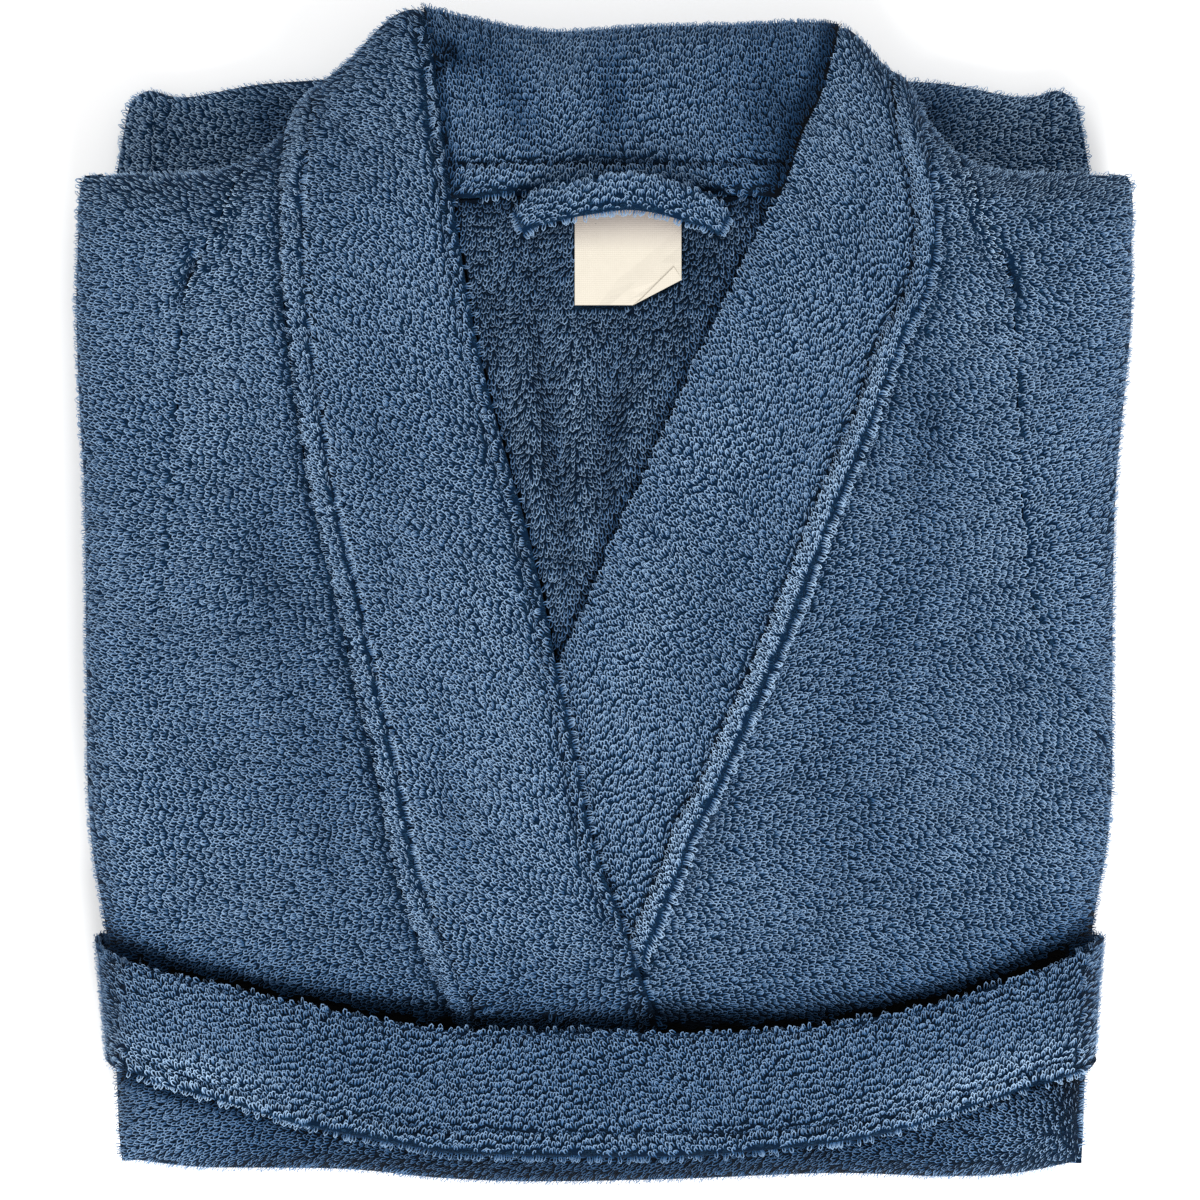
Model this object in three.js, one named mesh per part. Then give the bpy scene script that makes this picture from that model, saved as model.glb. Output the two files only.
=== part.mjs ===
// A folded terry bathrobe with a kimono collar band, lying on its back with its belt round it.
// Millimetres, +Y toward the neck, +X toward the wearer's left front, Z = 0 on the table.
import * as THREE from 'three';

// ---- cloth -------------------------------------------------------------------------------
const CLOTH = 2.8;              // terry, pile on both faces
const SEAM = 0.3;               // between two pieces that are sewn together
const BAND = 5.5;               // the collar strip is doubled
const PRESSED = 3.6;            // the same strip where the belt presses it
const RIDGE = 1.8;              // the felled seam stands up by this much
const RIDGE_WIDTH = 9.5;
const LABEL = 1.0;
const BELT = 4.2;               // doubled strip
const BELT_UNDER = 3.2;

// ---- the pack ----------------------------------------------------------------------------
const CROWN = 61;               // height of the upper face near its edges
const DOME = 3.5;               // more in the middle
const WAIST = 4;                // the belt pulls the pack in
const ROUND = 24;               // how far in the upper edge begins to round over
const CURL = 9;                 // the upper fold tucks in below its rim with this radius
const CURL_END = 1.3;           // radians
const RIM = 38;                 // height of the upper fold's rim
const RIM_NECK = 30;            // the same at the neck's end
const NECK_FALL = 18;           // the neck's end lies lower than the chest
const HOLLOW = 5;               // depth of the open neck
const HOLLOW_EDGE = 36;
const HALF_WIDTH = 200;         // of the column coordinate, which each row scales to its own
const SHOULDER_Y = 165;
const BOTTOM_Y = -227;
const CORE_GAP = 1.3;

// Each side edge, as x at a given y.
const SIDE_LEFT = { y: [-227, -209, -186, -127, -104, -80, -41, -2, 36, 75, 114, 157, 165, 230],
  x: [-186, -189.3, -190, -195.2, -199.5, -201.8, -202, -202.6, -203, -205.3, -206.5, -205, -202, -200] };
const SIDE_RIGHT = { y: [-227, -209, -186, -127, -104, -80, -41, -2, 36, 75, 114, 157, 165, 230],
  x: [186, 187.4, 188, 192, 196.4, 199, 199, 199.5, 200.3, 203.8, 207.1, 206.9, 204, 201] };
// The upper end: shoulder folds level, then up the slope to the neck.
const TOP_END = { x: [-206, -196, -150, -140, -131, -122, -115, -107, -99, -91, -81, -70, -48, -18, 10, 59,
  79, 93, 102, 108, 116, 124, 132, 142, 152, 196, 206],
  y: [160, 164, 165, 167, 174, 182, 193, 200.5, 207, 216, 225.5, 228, 222.5, 217.5, 220, 221,
    222.5, 220.5, 213, 205.5, 199, 186, 175, 167, 165, 164, 160] };
const BOTTOM_END = { x: [-190, -178, -106, -80, -30, 30, 104, 140, 180, 190],
  y: [-219, -222.5, -222.7, -226, -228, -227, -224.5, -226, -225, -220] };
const ARMHOLE_LEFT = { y: [-20, 13, 83, 111, 118, 124, 132, 136, 144, 156, 165, 173, 230],
  x: [-171, -168.3, -164.4, -162.8, -162, -159.7, -157, -152.3, -148.4, -144.9, -141, -133, -128] };
const ARMHOLE_RIGHT = { y: [-20, 13, 83, 112, 123, 129, 136, 141, 148, 160, 168, 174, 230],
  x: [166, 163.2, 160, 158.9, 158.1, 154.6, 150.3, 148.8, 146.4, 143.3, 139.8, 134.4, 129] };
// Lower down the seam sweeps out over the pack's side: out is walked along the cloth.
const UNDERARM_SWEEP = { y: [-104, -88, -74, -60, -46, -33, -20, -6, 10],
  out: [223, 216, 207.5, 198.5, 190, 182, 175.5, 170, 167] };
// The collar band on the over front: its free edge and the seam to the front.
const OVER_EDGE = { y: [-190, -163, -140, -126, -114, -101, -86, -52, -37, -14, 21, 54, 75, 99, 118, 137,
  153, 177, 190, 205, 225, 240],
  x: [28, 20.5, 11.5, 7.6, 2.5, -2.5, -6.4, -12.3, -16.4, -20.6, -28.3, -37.6, -43.5, -49.4, -52.8, -55.8,
    -58.2, -60.9, -62.4, -64.6, -69.2, -72] };
const OVER_SEAM = { y: [-190, -158, -139, -123, -104, -84, -65, -34, 5, 44, 83, 122, 140, 162, 182, 240],
  x: [-50, -60.3, -70.4, -75.9, -81.7, -85.2, -89.1, -96.5, -105.1, -114.5, -120.4, -124.6, -125, -125.4,
    -123, -119] };
// The band on the under front. Below y = -26 its free edge is hidden by the over band.
const UNDER_EDGE = { y: [-190, -160, -143, -80, -26, -8, 12, 31, 54, 84, 108, 133, 142, 154, 164, 174, 184,
  194, 204, 216, 240],
  x: [-46, -54, -60, -38, -16.2, -7.2, 1, 8.8, 20.5, 33.7, 45.4, 57.9, 62.6, 67.7, 72, 74.7, 79, 84.4, 87.2,
    90.7, 95] };
const UNDER_SEAM = { y: [-190, -150, -126, -106, -93, -74, -58, -37, -13, 4, 19, 37, 52, 70, 85, 97, 110, 123,
  142, 162, 182, 240],
  x: [-3, 14, 24.4, 32.9, 36.5, 47.9, 54, 64.2, 74.3, 81.3, 86.8, 93.4, 100, 107.8, 111.7, 116.8, 124.2, 129,
    130.6, 128.5, 124, 120] };
const BACK_SEAM_Y = 152.5;      // where the collar is felled to the back neck
const BACK_FELL = 13.5;
// The belt's two edges on the upper face, as y at a given x.
const BELT_UP = { x: [-200, -187, -174, -150, -125, -100, -75, -50, -17, 43, 73, 102, 132, 162, 189, 200],
  y: [-133, -140.6, -144.5, -150.7, -157, -161.7, -166.3, -169.1, -169, -169, -168.4, -164.4, -158.1,
    -147.6, -134.4, -128] };
const BELT_LOW = { x: [-200, -188, -162, -137, -112, -88, -63, -17, 50, 88, 110, 132, 162, 186, 200],
  y: [-181, -185, -194, -200.3, -207.7, -210.4, -213.9, -215, -215, -212.7, -209.6, -203, -193.2, -186, -181] };
const CHANNEL = { low: -189, high: -123, deep: 4.2, slope: 4 };

const FABRIC = 0x46658a;
const CREAM = 0xefe6d2;

// ---- small mathematics -------------------------------------------------------------------
const clamp = (v, lo, hi) => Math.min(hi, Math.max(lo, v));
const smooth = (t) => { const k = clamp(t, 0, 1); return k * k * (3 - 2 * k); };
const mix = (a, b, t) => a + (b - a) * t;
const span = (n, a, b) => Array.from({ length: n }, (_, i) => mix(a, b, i / (n - 1)));

// A smooth curve through a table's points. It never swings past them.
function curve(keys, values) {
  const n = keys.length;
  const slope = (i) => (values[i + 1] - values[i]) / (keys[i + 1] - keys[i]);
  const tangent = keys.map((_, i) => {
    if (i === 0 || i === n - 1) return slope(i === 0 ? 0 : n - 2);
    const [a, b] = [slope(i - 1), slope(i)];
    return a * b <= 0 ? 0 : (2 * a * b) / (a + b);
  });
  return (at) => {
    const k = clamp(at, keys[0], keys[n - 1]);
    let i = 0;
    while (i < n - 2 && k > keys[i + 1]) i += 1;
    const h = keys[i + 1] - keys[i];
    const t = (k - keys[i]) / h;
    const rise = (2 * t - 3) * t * t;
    return values[i] * (1 + rise) - values[i + 1] * rise
      + h * (tangent[i] * t * (1 - t) ** 2 + tangent[i + 1] * t * t * (t - 1));
  };
}

const sideLeft = curve(SIDE_LEFT.y, SIDE_LEFT.x);
const sideRight = curve(SIDE_RIGHT.y, SIDE_RIGHT.x);
const topEnd = curve(TOP_END.x, TOP_END.y);
const bottomEnd = curve(BOTTOM_END.x, BOTTOM_END.y);
const armholeLeft = curve(ARMHOLE_LEFT.y, ARMHOLE_LEFT.x);
const armholeRight = curve(ARMHOLE_RIGHT.y, ARMHOLE_RIGHT.x);
const underarmSweep = curve(UNDERARM_SWEEP.y, UNDERARM_SWEEP.out);
const overEdge = curve(OVER_EDGE.y, OVER_EDGE.x);
const overSeam = curve(OVER_SEAM.y, OVER_SEAM.x);
const underEdge = curve(UNDER_EDGE.y, UNDER_EDGE.x);
const underSeam = curve(UNDER_SEAM.y, UNDER_SEAM.x);
const beltUp = curve(BELT_UP.x, BELT_UP.y);
const beltLow = curve(BELT_LOW.x, BELT_LOW.y);

// ---- the pack's upper face ---------------------------------------------------------------
const rimHeight = (y) => mix(RIM, RIM_NECK, smooth((y - 150) / 60));

function faceHeight(x, y) {
  const dome = DOME * (1 - (x / 205) ** 2) * (1 - (y / 230) ** 2);
  const neck = NECK_FALL * smooth((y - 135) / 95);
  const middle = (beltUp(x) + beltLow(x)) / 2;
  const waist = WAIST * Math.exp(-(((y - middle) / 30) ** 2));
  const inside = Math.min(x - overEdge(y), underEdge(y) - x);
  const hollow = HOLLOW * smooth(inside / HOLLOW_EDGE) * smooth((y + 20) / 60) * (1 - smooth((y - 135) / 55));
  return CROWN + dome - neck - waist - hollow;
}

const bandThickness = (y) => mix(BAND, PRESSED, smooth((-140 - y) / 25));
const ridgeHeight = (y) => RIDGE * (1 - 0.8 * smooth((-140 - y) / 20));

// A rounded, curled edge: arc is the distance walked outward from where the face is still flat.
// inset and drop are for the surface that lies `in` millimetres inside the outer one.
function edge(arc, into) {
  const quarter = (Math.PI / 2) * ROUND;
  if (arc <= 0) return { inset: ROUND - arc, rise: 1, drop: 0, turn: 0 };
  if (arc <= quarter) {
    const angle = Math.PI / 2 - arc / ROUND;
    return { inset: ROUND - (ROUND - into) * Math.cos(angle), rise: Math.sin(angle), drop: 0, turn: 0 };
  }
  const angle = (arc - quarter) / CURL;
  return { inset: CURL - (CURL - into) * Math.cos(angle), rise: 0, drop: CURL - into, turn: Math.sin(angle) };
}
const EDGE_ARC = (Math.PI / 2) * ROUND + CURL * CURL_END;
const RIM_ARC = (Math.PI / 2) * ROUND;
const arcAt = (inset) => (inset >= ROUND ? ROUND - inset : ROUND * (Math.PI / 2 - Math.acos(1 - inset / ROUND)));

// Rows run across the pack. A row is flat at some y, or an arc over one of the two ends.
const CURLS = [EDGE_ARC, RIM_ARC + CURL * 0.65];
const ROLLS = [1, 2 / 3, 1 / 3].map((t) => RIM_ARC * t);
const FLAT_ROWS = 26;
const ROWS = [
  ...[...CURLS, ...ROLLS].map((arc) => ({ end: 'bottom', arc })),
  ...span(FLAT_ROWS, BOTTOM_Y + ROUND, SHOULDER_Y - ROUND).map((y) => ({ y })),
  ...[...ROLLS].reverse().map((arc) => ({ end: 'top', arc })),
  ...[...CURLS].reverse().map((arc) => ({ end: 'top', arc })),
];
const FIRST_FLAT = CURLS.length + ROLLS.length;
const LAST_FLAT = FIRST_FLAT + FLAT_ROWS - 1;
const rowNear = (y) => FIRST_FLAT
  + Math.round(((y - BOTTOM_Y - ROUND) / (SHOULDER_Y - BOTTOM_Y - 2 * ROUND)) * (FLAT_ROWS - 1));

function rowPlace(row, x, into) {
  if (row.end === 'bottom') {
    const e = edge(row.arc, into);
    return { ...e, y: bottomEnd(x) + e.inset };
  }
  if (row.end === 'top') {
    const e = edge(row.arc, into);
    return { ...e, y: topEnd(x) - e.inset };
  }
  const up = (topEnd(x) - SHOULDER_Y) * smooth((row.y - 40) / (SHOULDER_Y - ROUND - 40));
  const down = (bottomEnd(x) - BOTTOM_Y) * smooth((-120 - row.y) / (-120 - BOTTOM_Y - ROUND));
  return { y: row.y + up + down, rise: 1, drop: 0, turn: 0 };
}

// The column coordinate c is x on the flat of a pack 2 * HALF_WIDTH wide, and arc length at its sides.
const FLAT_C = HALF_WIDTH - ROUND;
const END_C = FLAT_C + EDGE_ARC;
function skin(c, row, into = 0) {
  const plainX = Math.sign(c) * (Math.abs(c) <= FLAT_C
    ? Math.abs(c)
    : HALF_WIDTH - edge(Math.abs(c) - FLAT_C, 0).inset);
  const v = rowPlace(row, plainX, into);
  const y = v.y;
  const side = c < 0 ? sideLeft(y) : sideRight(y);
  let u = { rise: 1, drop: 0, turn: 0 };
  let x = (c * (Math.abs(side) - ROUND)) / FLAT_C;
  if (Math.abs(c) > FLAT_C) {
    u = edge(Math.abs(c) - FLAT_C, into);
    x = Math.sign(c) * (Math.abs(side) - u.inset);
  }
  const rim = rimHeight(y);
  const top = faceHeight(x, y) - into;
  const tuck = (CURL - into) * (1 - (1 - u.turn) * (1 - v.turn));
  return [x, y, rim + (top - rim) * u.rise * v.rise - tuck];
}

// The column coordinate where a row crosses the line x = line(y).
function crossing(row, line) {
  let [low, high] = [-FLAT_C - RIM_ARC, FLAT_C + RIM_ARC];
  for (let k = 0; k < 40; k += 1) {
    const c = (low + high) / 2;
    const [x, y] = skin(c, row);
    if (x < line(y)) low = c;
    else high = c;
  }
  return (low + high) / 2;
}

// A point of the upper face from its plan position, `into` below it (above it if negative).
function face(x, y, into = 0) {
  const side = x < 0 ? sideLeft(y) : sideRight(y);
  const u = edge(arcAt(Math.max(Math.abs(side) - Math.abs(x), 0)), into);
  const v = edge(arcAt(Math.max(y - bottomEnd(x), 0)), into);
  const nearSide = Math.abs(side) - Math.abs(x) < ROUND;
  const nearEnd = y - bottomEnd(x) < ROUND;
  const rim = rimHeight(y);
  return [
    nearSide ? Math.sign(x) * (Math.abs(side) - u.inset) : x,
    nearEnd ? bottomEnd(x) + v.inset : y,
    rim + (faceHeight(x, y) - into - rim) * (nearSide ? u.rise : 1) * (nearEnd ? v.rise : 1),
  ];
}

// ---- closed meshes -----------------------------------------------------------------------
function closed(points, faces, color, name) {
  const volume = faces.reduce((sum, [a, b, c]) => {
    const [p, q, r] = [points[a], points[b], points[c]];
    return sum + p[0] * (q[1] * r[2] - q[2] * r[1]) - p[1] * (q[0] * r[2] - q[2] * r[0])
      + p[2] * (q[0] * r[1] - q[1] * r[0]);
  }, 0);
  const index = volume > 0 ? faces : faces.map(([a, b, c]) => [a, c, b]);
  const geometry = new THREE.BufferGeometry();
  geometry.setAttribute('position', new THREE.Float32BufferAttribute(points.flat(), 3));
  geometry.setIndex(index.flat());
  geometry.computeVertexNormals();
  const mesh = new THREE.Mesh(geometry, new THREE.MeshStandardMaterial({ color, roughness: 0.95 }));
  mesh.name = name;
  return mesh;
}

// A wall between an outer and an inner grid of points, closed round its four edges.
function wall(name, outer, inner, color = FABRIC) {
  const [rows, columns] = [outer.length, outer[0].length];
  const points = [...outer.flat(), ...inner.flat()];
  const at = (layer, i, j) => (layer * rows + i) * columns + j;
  const faces = [];
  const quad = (a, b, c, d) => faces.push([a, b, c], [a, c, d]);
  for (let i = 0; i < rows - 1; i += 1) {
    for (let j = 0; j < columns - 1; j += 1) {
      quad(at(0, i, j), at(0, i, j + 1), at(0, i + 1, j + 1), at(0, i + 1, j));
      quad(at(1, i, j), at(1, i + 1, j), at(1, i + 1, j + 1), at(1, i, j + 1));
    }
  }
  for (let j = 0; j < columns - 1; j += 1) {
    quad(at(0, 0, j), at(1, 0, j), at(1, 0, j + 1), at(0, 0, j + 1));
    quad(at(0, rows - 1, j), at(0, rows - 1, j + 1), at(1, rows - 1, j + 1), at(1, rows - 1, j));
  }
  for (let i = 0; i < rows - 1; i += 1) {
    quad(at(0, i, 0), at(0, i + 1, 0), at(1, i + 1, 0), at(1, i, 0));
    quad(at(0, i, columns - 1), at(1, i, columns - 1), at(1, i + 1, columns - 1), at(0, i + 1, columns - 1));
  }
  return closed(points, faces, color, name);
}

// Rings of equal length joined in turn. Open ones end in a cap; a closed one joins last to first.
function sweep(name, rings, loop = false, color = FABRIC) {
  const n = rings[0].length;
  const faces = [];
  const count = loop ? rings.length : rings.length - 1;
  for (let i = 0; i < count; i += 1) {
    const next = (i + 1) % rings.length;
    for (let j = 0; j < n; j += 1) {
      const [a, b] = [i * n + j, i * n + ((j + 1) % n)];
      const [d, c] = [next * n + j, next * n + ((j + 1) % n)];
      faces.push([a, b, c], [a, c, d]);
    }
  }
  if (!loop) {
    const last = (rings.length - 1) * n;
    for (let j = 1; j < n - 1; j += 1) {
      faces.push([0, j + 1, j], [last, last + j, last + j + 1]);
    }
  }
  return closed(rings.flat(), faces, color, name);
}

// A panel between two lines on the pack. relief(x, y) lifts its outer face, lift(x, y) the whole of it.
function panel(name, rows, left, right, columns, relief = () => 0, lift = () => 0) {
  const grid = (inner) => rows.map((row) => {
    const [a, b] = [left(row), right(row)];
    return columns.map((t) => {
      const c = mix(a, b, t);
      const [x, y] = skin(c, row);
      return skin(c, row, (inner ? CLOTH : -relief(x, y, t)) - lift(x, y));
    });
  });
  return wall(name, grid(false), grid(true));
}

// ---- fronts and sleeves ------------------------------------------------------------------
const HALF_SEAM = SEAM / 2;
const UNDERARM = rowNear(-102);
const SWEEP_ROW = rowNear(10);
const SKIRT_ROW = rowNear(-184);
const bodyRows = (from, to = ROWS.length) => ROWS.slice(from, to);
// More columns where a panel rounds over the pack's side.
const FRONT_COLUMNS = [0, 0.035, 0.07, 0.13, 0.19, 0.25, 0.31, 0.44, 0.58, 0.72, 0.86, 1];

function sidePieces(sign, armhole, seam, suffix, front) {
  const inSeam = (row) => crossing(row, seam) + sign * HALF_SEAM;
  const meets = crossing(ROWS[SWEEP_ROW], armhole) - sign * underarmSweep(ROWS[SWEEP_ROW].y);
  const armC = (row) => (ROWS.indexOf(row) < SWEEP_ROW
    ? sign * underarmSweep(row.y) + meets * smooth((row.y + 60) / 70)
    : crossing(row, armhole));
  const outer = (row) => {
    const above = ROWS.indexOf(row) >= UNDERARM;
    return above ? armC(row) - sign * HALF_SEAM : sign * END_C;
  };
  const frontRows = bodyRows(SKIRT_ROW + 1);
  const sleeveRows = bodyRows(UNDERARM);
  return [
    panel(front, frontRows, outer, inSeam, FRONT_COLUMNS),
    panel(`sleeve_${suffix}`, sleeveRows, () => sign * END_C, (row) => armC(row) + sign * HALF_SEAM, span(9, 0, 1)),
  ];
}

// ---- collar ------------------------------------------------------------------------------
// Across a band: t = 0 at the seam to the front, t = 1 at its folded free edge.
const BAND_COLUMNS = [0, 0.035, 0.08, 0.13, 0.18, 0.3, 0.45, 0.6, 0.75, 0.88, 0.96, 1];
function bandRelief(seam, free) {
  return (x, y, t) => {
    const width = Math.abs(free(y) - seam(y));
    const fromSeam = t * width;
    const ridge = ridgeHeight(y) * smooth(fromSeam / 2.5) * (1 - smooth((fromSeam - RIDGE_WIDTH + 3) / 4));
    const roll = 2.6 * smooth((t - 0.9) / 0.1) ** 2;
    const start = 1.6 * (1 - smooth(fromSeam / 2.5));
    return bandThickness(y) - CLOTH + ridge - roll - start;
  };
}
// The over band climbs on to the under band where it crosses it.
const climb = (x, y) => (bandThickness(y) + 0.4) * smooth((x - underEdge(y) + 10) / 8);

function collar() {
  const rows = bodyRows(SKIRT_ROW + 1);
  const over = panel('collar_over', rows, (row) => crossing(row, overSeam) + HALF_SEAM,
    (row) => crossing(row, overEdge) - HALF_SEAM, BAND_COLUMNS, bandRelief(overSeam, overEdge), climb);
  const hidden = (y) => Math.max(underEdge(y), overSeam(y) + 5);
  const under = panel('collar_under', rows, (row) => crossing(row, underSeam) - HALF_SEAM,
    (row) => crossing(row, hidden) + HALF_SEAM, BAND_COLUMNS,
    (x, y, t) => {
      const clear = smooth((x - overEdge(y) - 2) / 12);
      const full = bandRelief(underSeam, hidden)(x, y, t);
      return Math.min(full, bandThickness(y) - CLOTH + RIDGE * clear);
    });
  const backStart = (x) => BACK_SEAM_Y + 2.5 * Math.sin((x + 60) / 45);
  const left = (y) => overEdge(y) + 3 * SEAM;
  const right = (y) => underEdge(y) - 3 * SEAM;
  const back = neckPanel('collar_back', left, right, backStart, null, [0, 0.05, 0.1, 0.2, 0.27, 0.4, 0.55, 0.7, 0.8],
    (x, y) => {
      const up = y - backStart(x);
      const ridge = 1.2 * smooth(up / 2.5) * (1 - smooth((up - BACK_FELL + 2) / 4));
      return BAND - CLOTH + ridge - 1.6 * (1 - smooth(up / 2.5));
    });
  const panelBack = neckPanel('back_panel', left, right, () => -25, (x) => backStart(x) - SEAM,
    span(13, 0, 1), () => 0);
  return [over, under, back, panelBack];
}

// A piece in the open neck, between the two free edges. Without an upper line it runs over the end.
function neckPanel(name, left, right, low, high, steps, relief) {
  const columns = span(11, 0, 1);
  const flatTop = SHOULDER_Y - ROUND;
  const rowsAt = (t) => {
    if (high) return (x) => mix(low(x), high(x), t);
    return (x) => mix(low(x), topEnd(x) - ROUND, t / 0.8);
  };
  const layer = (inner) => {
    const into = (x, y) => (inner ? CLOTH : -relief(x, y));
    const flat = steps.map((t) => columns.map((k) => {
      const line = rowsAt(t);
      let x = 0;
      let y = 0;
      for (let n = 0; n < 12; n += 1) {
        y = line(x);
        x = mix(left(y), right(y), k);
      }
      return [x, y, faceHeight(x, y) - into(x, y)];
    }));
    if (high) return flat;
    const ends = ROWS.slice(LAST_FLAT + 1).map((row) => columns.map((k) => {
      const [a, b] = [crossing(row, left), crossing(row, right)];
      const c = mix(a, b, k);
      const [x, y] = skin(c, row);
      return skin(c, row, into(x, y));
    }));
    return [...flat, ...ends];
  };
  return wall(name, layer(false), layer(true));
}

// ---- the skirt's turn below the belt -----------------------------------------------------
function skirtFold() {
  const rows = ROWS.slice(0, SKIRT_ROW + 1).filter((_, i) => i < FIRST_FLAT + 1 || i === SKIRT_ROW);
  const fractions = [0, 0.025, 0.055, 0.09, 0.125, 0.16];
  const columns = [...fractions, ...span(15, 0.2, 0.8), ...fractions.map((t) => 1 - t).reverse()];
  const under = (row) => (row === ROWS[SKIRT_ROW] ? 1 : 0);
  const grid = (inner) => rows.map((row) => columns.map((t) => {
    const c = mix(-END_C, END_C, t);
    const shown = under(row) ? { y: ROWS[SKIRT_ROW + 1].y - 1.5 } : row;
    return skin(c, shown, inner ? CLOTH : 0);
  }));
  return wall('skirt_fold', grid(false), grid(true));
}

// ---- hidden layers -----------------------------------------------------------------------
// Side of the stack below the upper fold, outward and downward: two more folds.
const LAYERS = [
  { inset: 9.8, z: 33.0 }, { inset: 10.4, z: 28.6 },
  { inset: 6.0, z: 26.6 }, { inset: 4.2, z: 21.5 }, { inset: 6.2, z: 16.6 }, { inset: 9.6, z: 15.2 },
  { inset: 6.4, z: 13.6 }, { inset: 4.8, z: 8.0 }, { inset: 6.8, z: 2.6 }, { inset: 10.0, z: 0 },
];
const NECK_HALF = 104;          // the layers reach out under the neck this far to each side
const LOW_TOP = 149;            // and end here beside it, to leave room for the cuffs

function foldedLayers() {
  // More room where the cloth above bends most: the neck's slopes, the corners and the open neck.
  const into = (x, y) => {
    const slopes = 2.6 * smooth((Math.abs(x) - 70) / 15) * smooth((y - 130) / 25);
    const open = 1.3 * smooth((Math.min(x - overEdge(y), underEdge(y) - x) + 14) / 20) * smooth((y + 34) / 20);
    return CLOTH + CORE_GAP + slopes + open;
  };
  const mid = [-FLAT_C, -152, -142, -132, -122, -113, -104, -95, -84, -66, -48, -32, -16, 0];
  const side = [1, 2 / 3, 1 / 3].map((t) => -FLAT_C - RIM_ARC * t);
  const half = [...side, ...mid];
  const cs = [...half, ...half.slice(0, -1).map((c) => -c).reverse()];
  const flat = [-202, -193, CHANNEL.low, -173, -157, -140, CHANNEL.high, CHANNEL.high + CHANNEL.slope,
    -100, -66, -34, -6, 24, 54, 80, 102, 122, SHOULDER_Y - ROUND].map((y) => ({ y }));
  const rows = [...ROLLS.map((arc) => ({ end: 'bottom', arc })), ...flat,
    ...[...ROLLS].reverse().map((arc) => ({ end: 'top', arc }))];
  const top = rows.map((row) => cs.map((c) => {
    const [x, y] = skin(c, row);
    return skin(c, row, into(x, y));
  }));
  const [m, n] = [rows.length, cs.length];
  const border = [];
  for (let j = 0; j < n; j += 1) border.push([0, j]);
  for (let i = 1; i < m; i += 1) border.push([i, n - 1]);
  for (let j = n - 2; j >= 0; j -= 1) border.push([m - 1, j]);
  for (let i = m - 2; i > 0; i -= 1) border.push([i, 0]);
  const channel = (y) => CHANNEL.deep * smooth((y - CHANNEL.low + CHANNEL.slope) / CHANNEL.slope)
    * smooth((CHANNEL.high + CHANNEL.slope - y) / CHANNEL.slope);
  // A plan position on the outline scaled in by inset, for the lower layers.
  const low = (i, j, inset) => {
    const [x0, y0] = top[i][j];
    const room = smooth((NECK_HALF - Math.abs(x0)) / 12);
    const high = mix(LOW_TOP + 6 - inset, topEnd(x0) - inset - 5, room);
    const down = bottomEnd(x0) + inset + 1.5;
    const share = (y0 - 100) / (top[m - 1][j][1] - 100);
    const y = y0 <= 100 ? Math.max(y0, down) : mix(100, high, share);
    const edgeX = Math.abs(x0 < 0 ? sideLeft(y) : sideRight(y));
    const x = x0 * (edgeX - inset) / Math.max(Math.abs(top[i][x0 < 0 ? 0 : n - 1][0]), 1);
    return [x, y];
  };
  const points = top.flat();
  const faces = [];
  const quad = (a, b, c, d) => faces.push([a, b, c], [a, c, d]);
  for (let i = 0; i < m - 1; i += 1) {
    for (let j = 0; j < n - 1; j += 1) {
      quad(i * n + j, i * n + j + 1, (i + 1) * n + j + 1, (i + 1) * n + j);
    }
  }
  let previous = border.map(([i, j]) => i * n + j);
  LAYERS.forEach(({ inset, z }, k) => {
    const start = points.length;
    border.forEach(([i, j]) => {
      const [x, y] = low(i, j, inset);
      const level = z * (rimHeight(y) / RIM);
      points.push([x, y, Math.max(level, channel(y) + (LAYERS.length - 1 - k) * 0.5 * (channel(y) > 0 ? 1 : 0))]);
    });
    border.forEach((_, p) => {
      const q = (p + 1) % border.length;
      quad(previous[p], start + p, start + q, previous[q]);
    });
    previous = border.map((_, p) => start + p);
  });
  const last = LAYERS[LAYERS.length - 1];
  const ring = new Map(border.map(([i, j], p) => [i * n + j, previous[p]]));
  const base = rows.map((_, i) => cs.map((_c, j) => {
    if (ring.has(i * n + j)) return ring.get(i * n + j);
    const [x, y] = low(i, j, last.inset);
    points.push([x, y, channel(y)]);
    return points.length - 1;
  }));
  for (let i = 0; i < m - 1; i += 1) {
    for (let j = 0; j < n - 1; j += 1) quad(base[i][j], base[i + 1][j], base[i + 1][j + 1], base[i][j + 1]);
  }
  return closed(points, faces, FABRIC, 'folded_layers');
}

// ---- cuffs that look out behind the shoulders --------------------------------------------
const CUFF = { height: 13, wall: 4.4, near: 153, tilt: 0.13, lift: 14, hem: 12, ridge: 1.0 };
const CUFF_TOP = { x: [107, 126, 138, 152, 162, 172, 180, 188], y: [200, 198.5, 198, 194, 192, 194.5, 195.5, 191] };
const cuffTop = curve(CUFF_TOP.x, CUFF_TOP.y);

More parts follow.
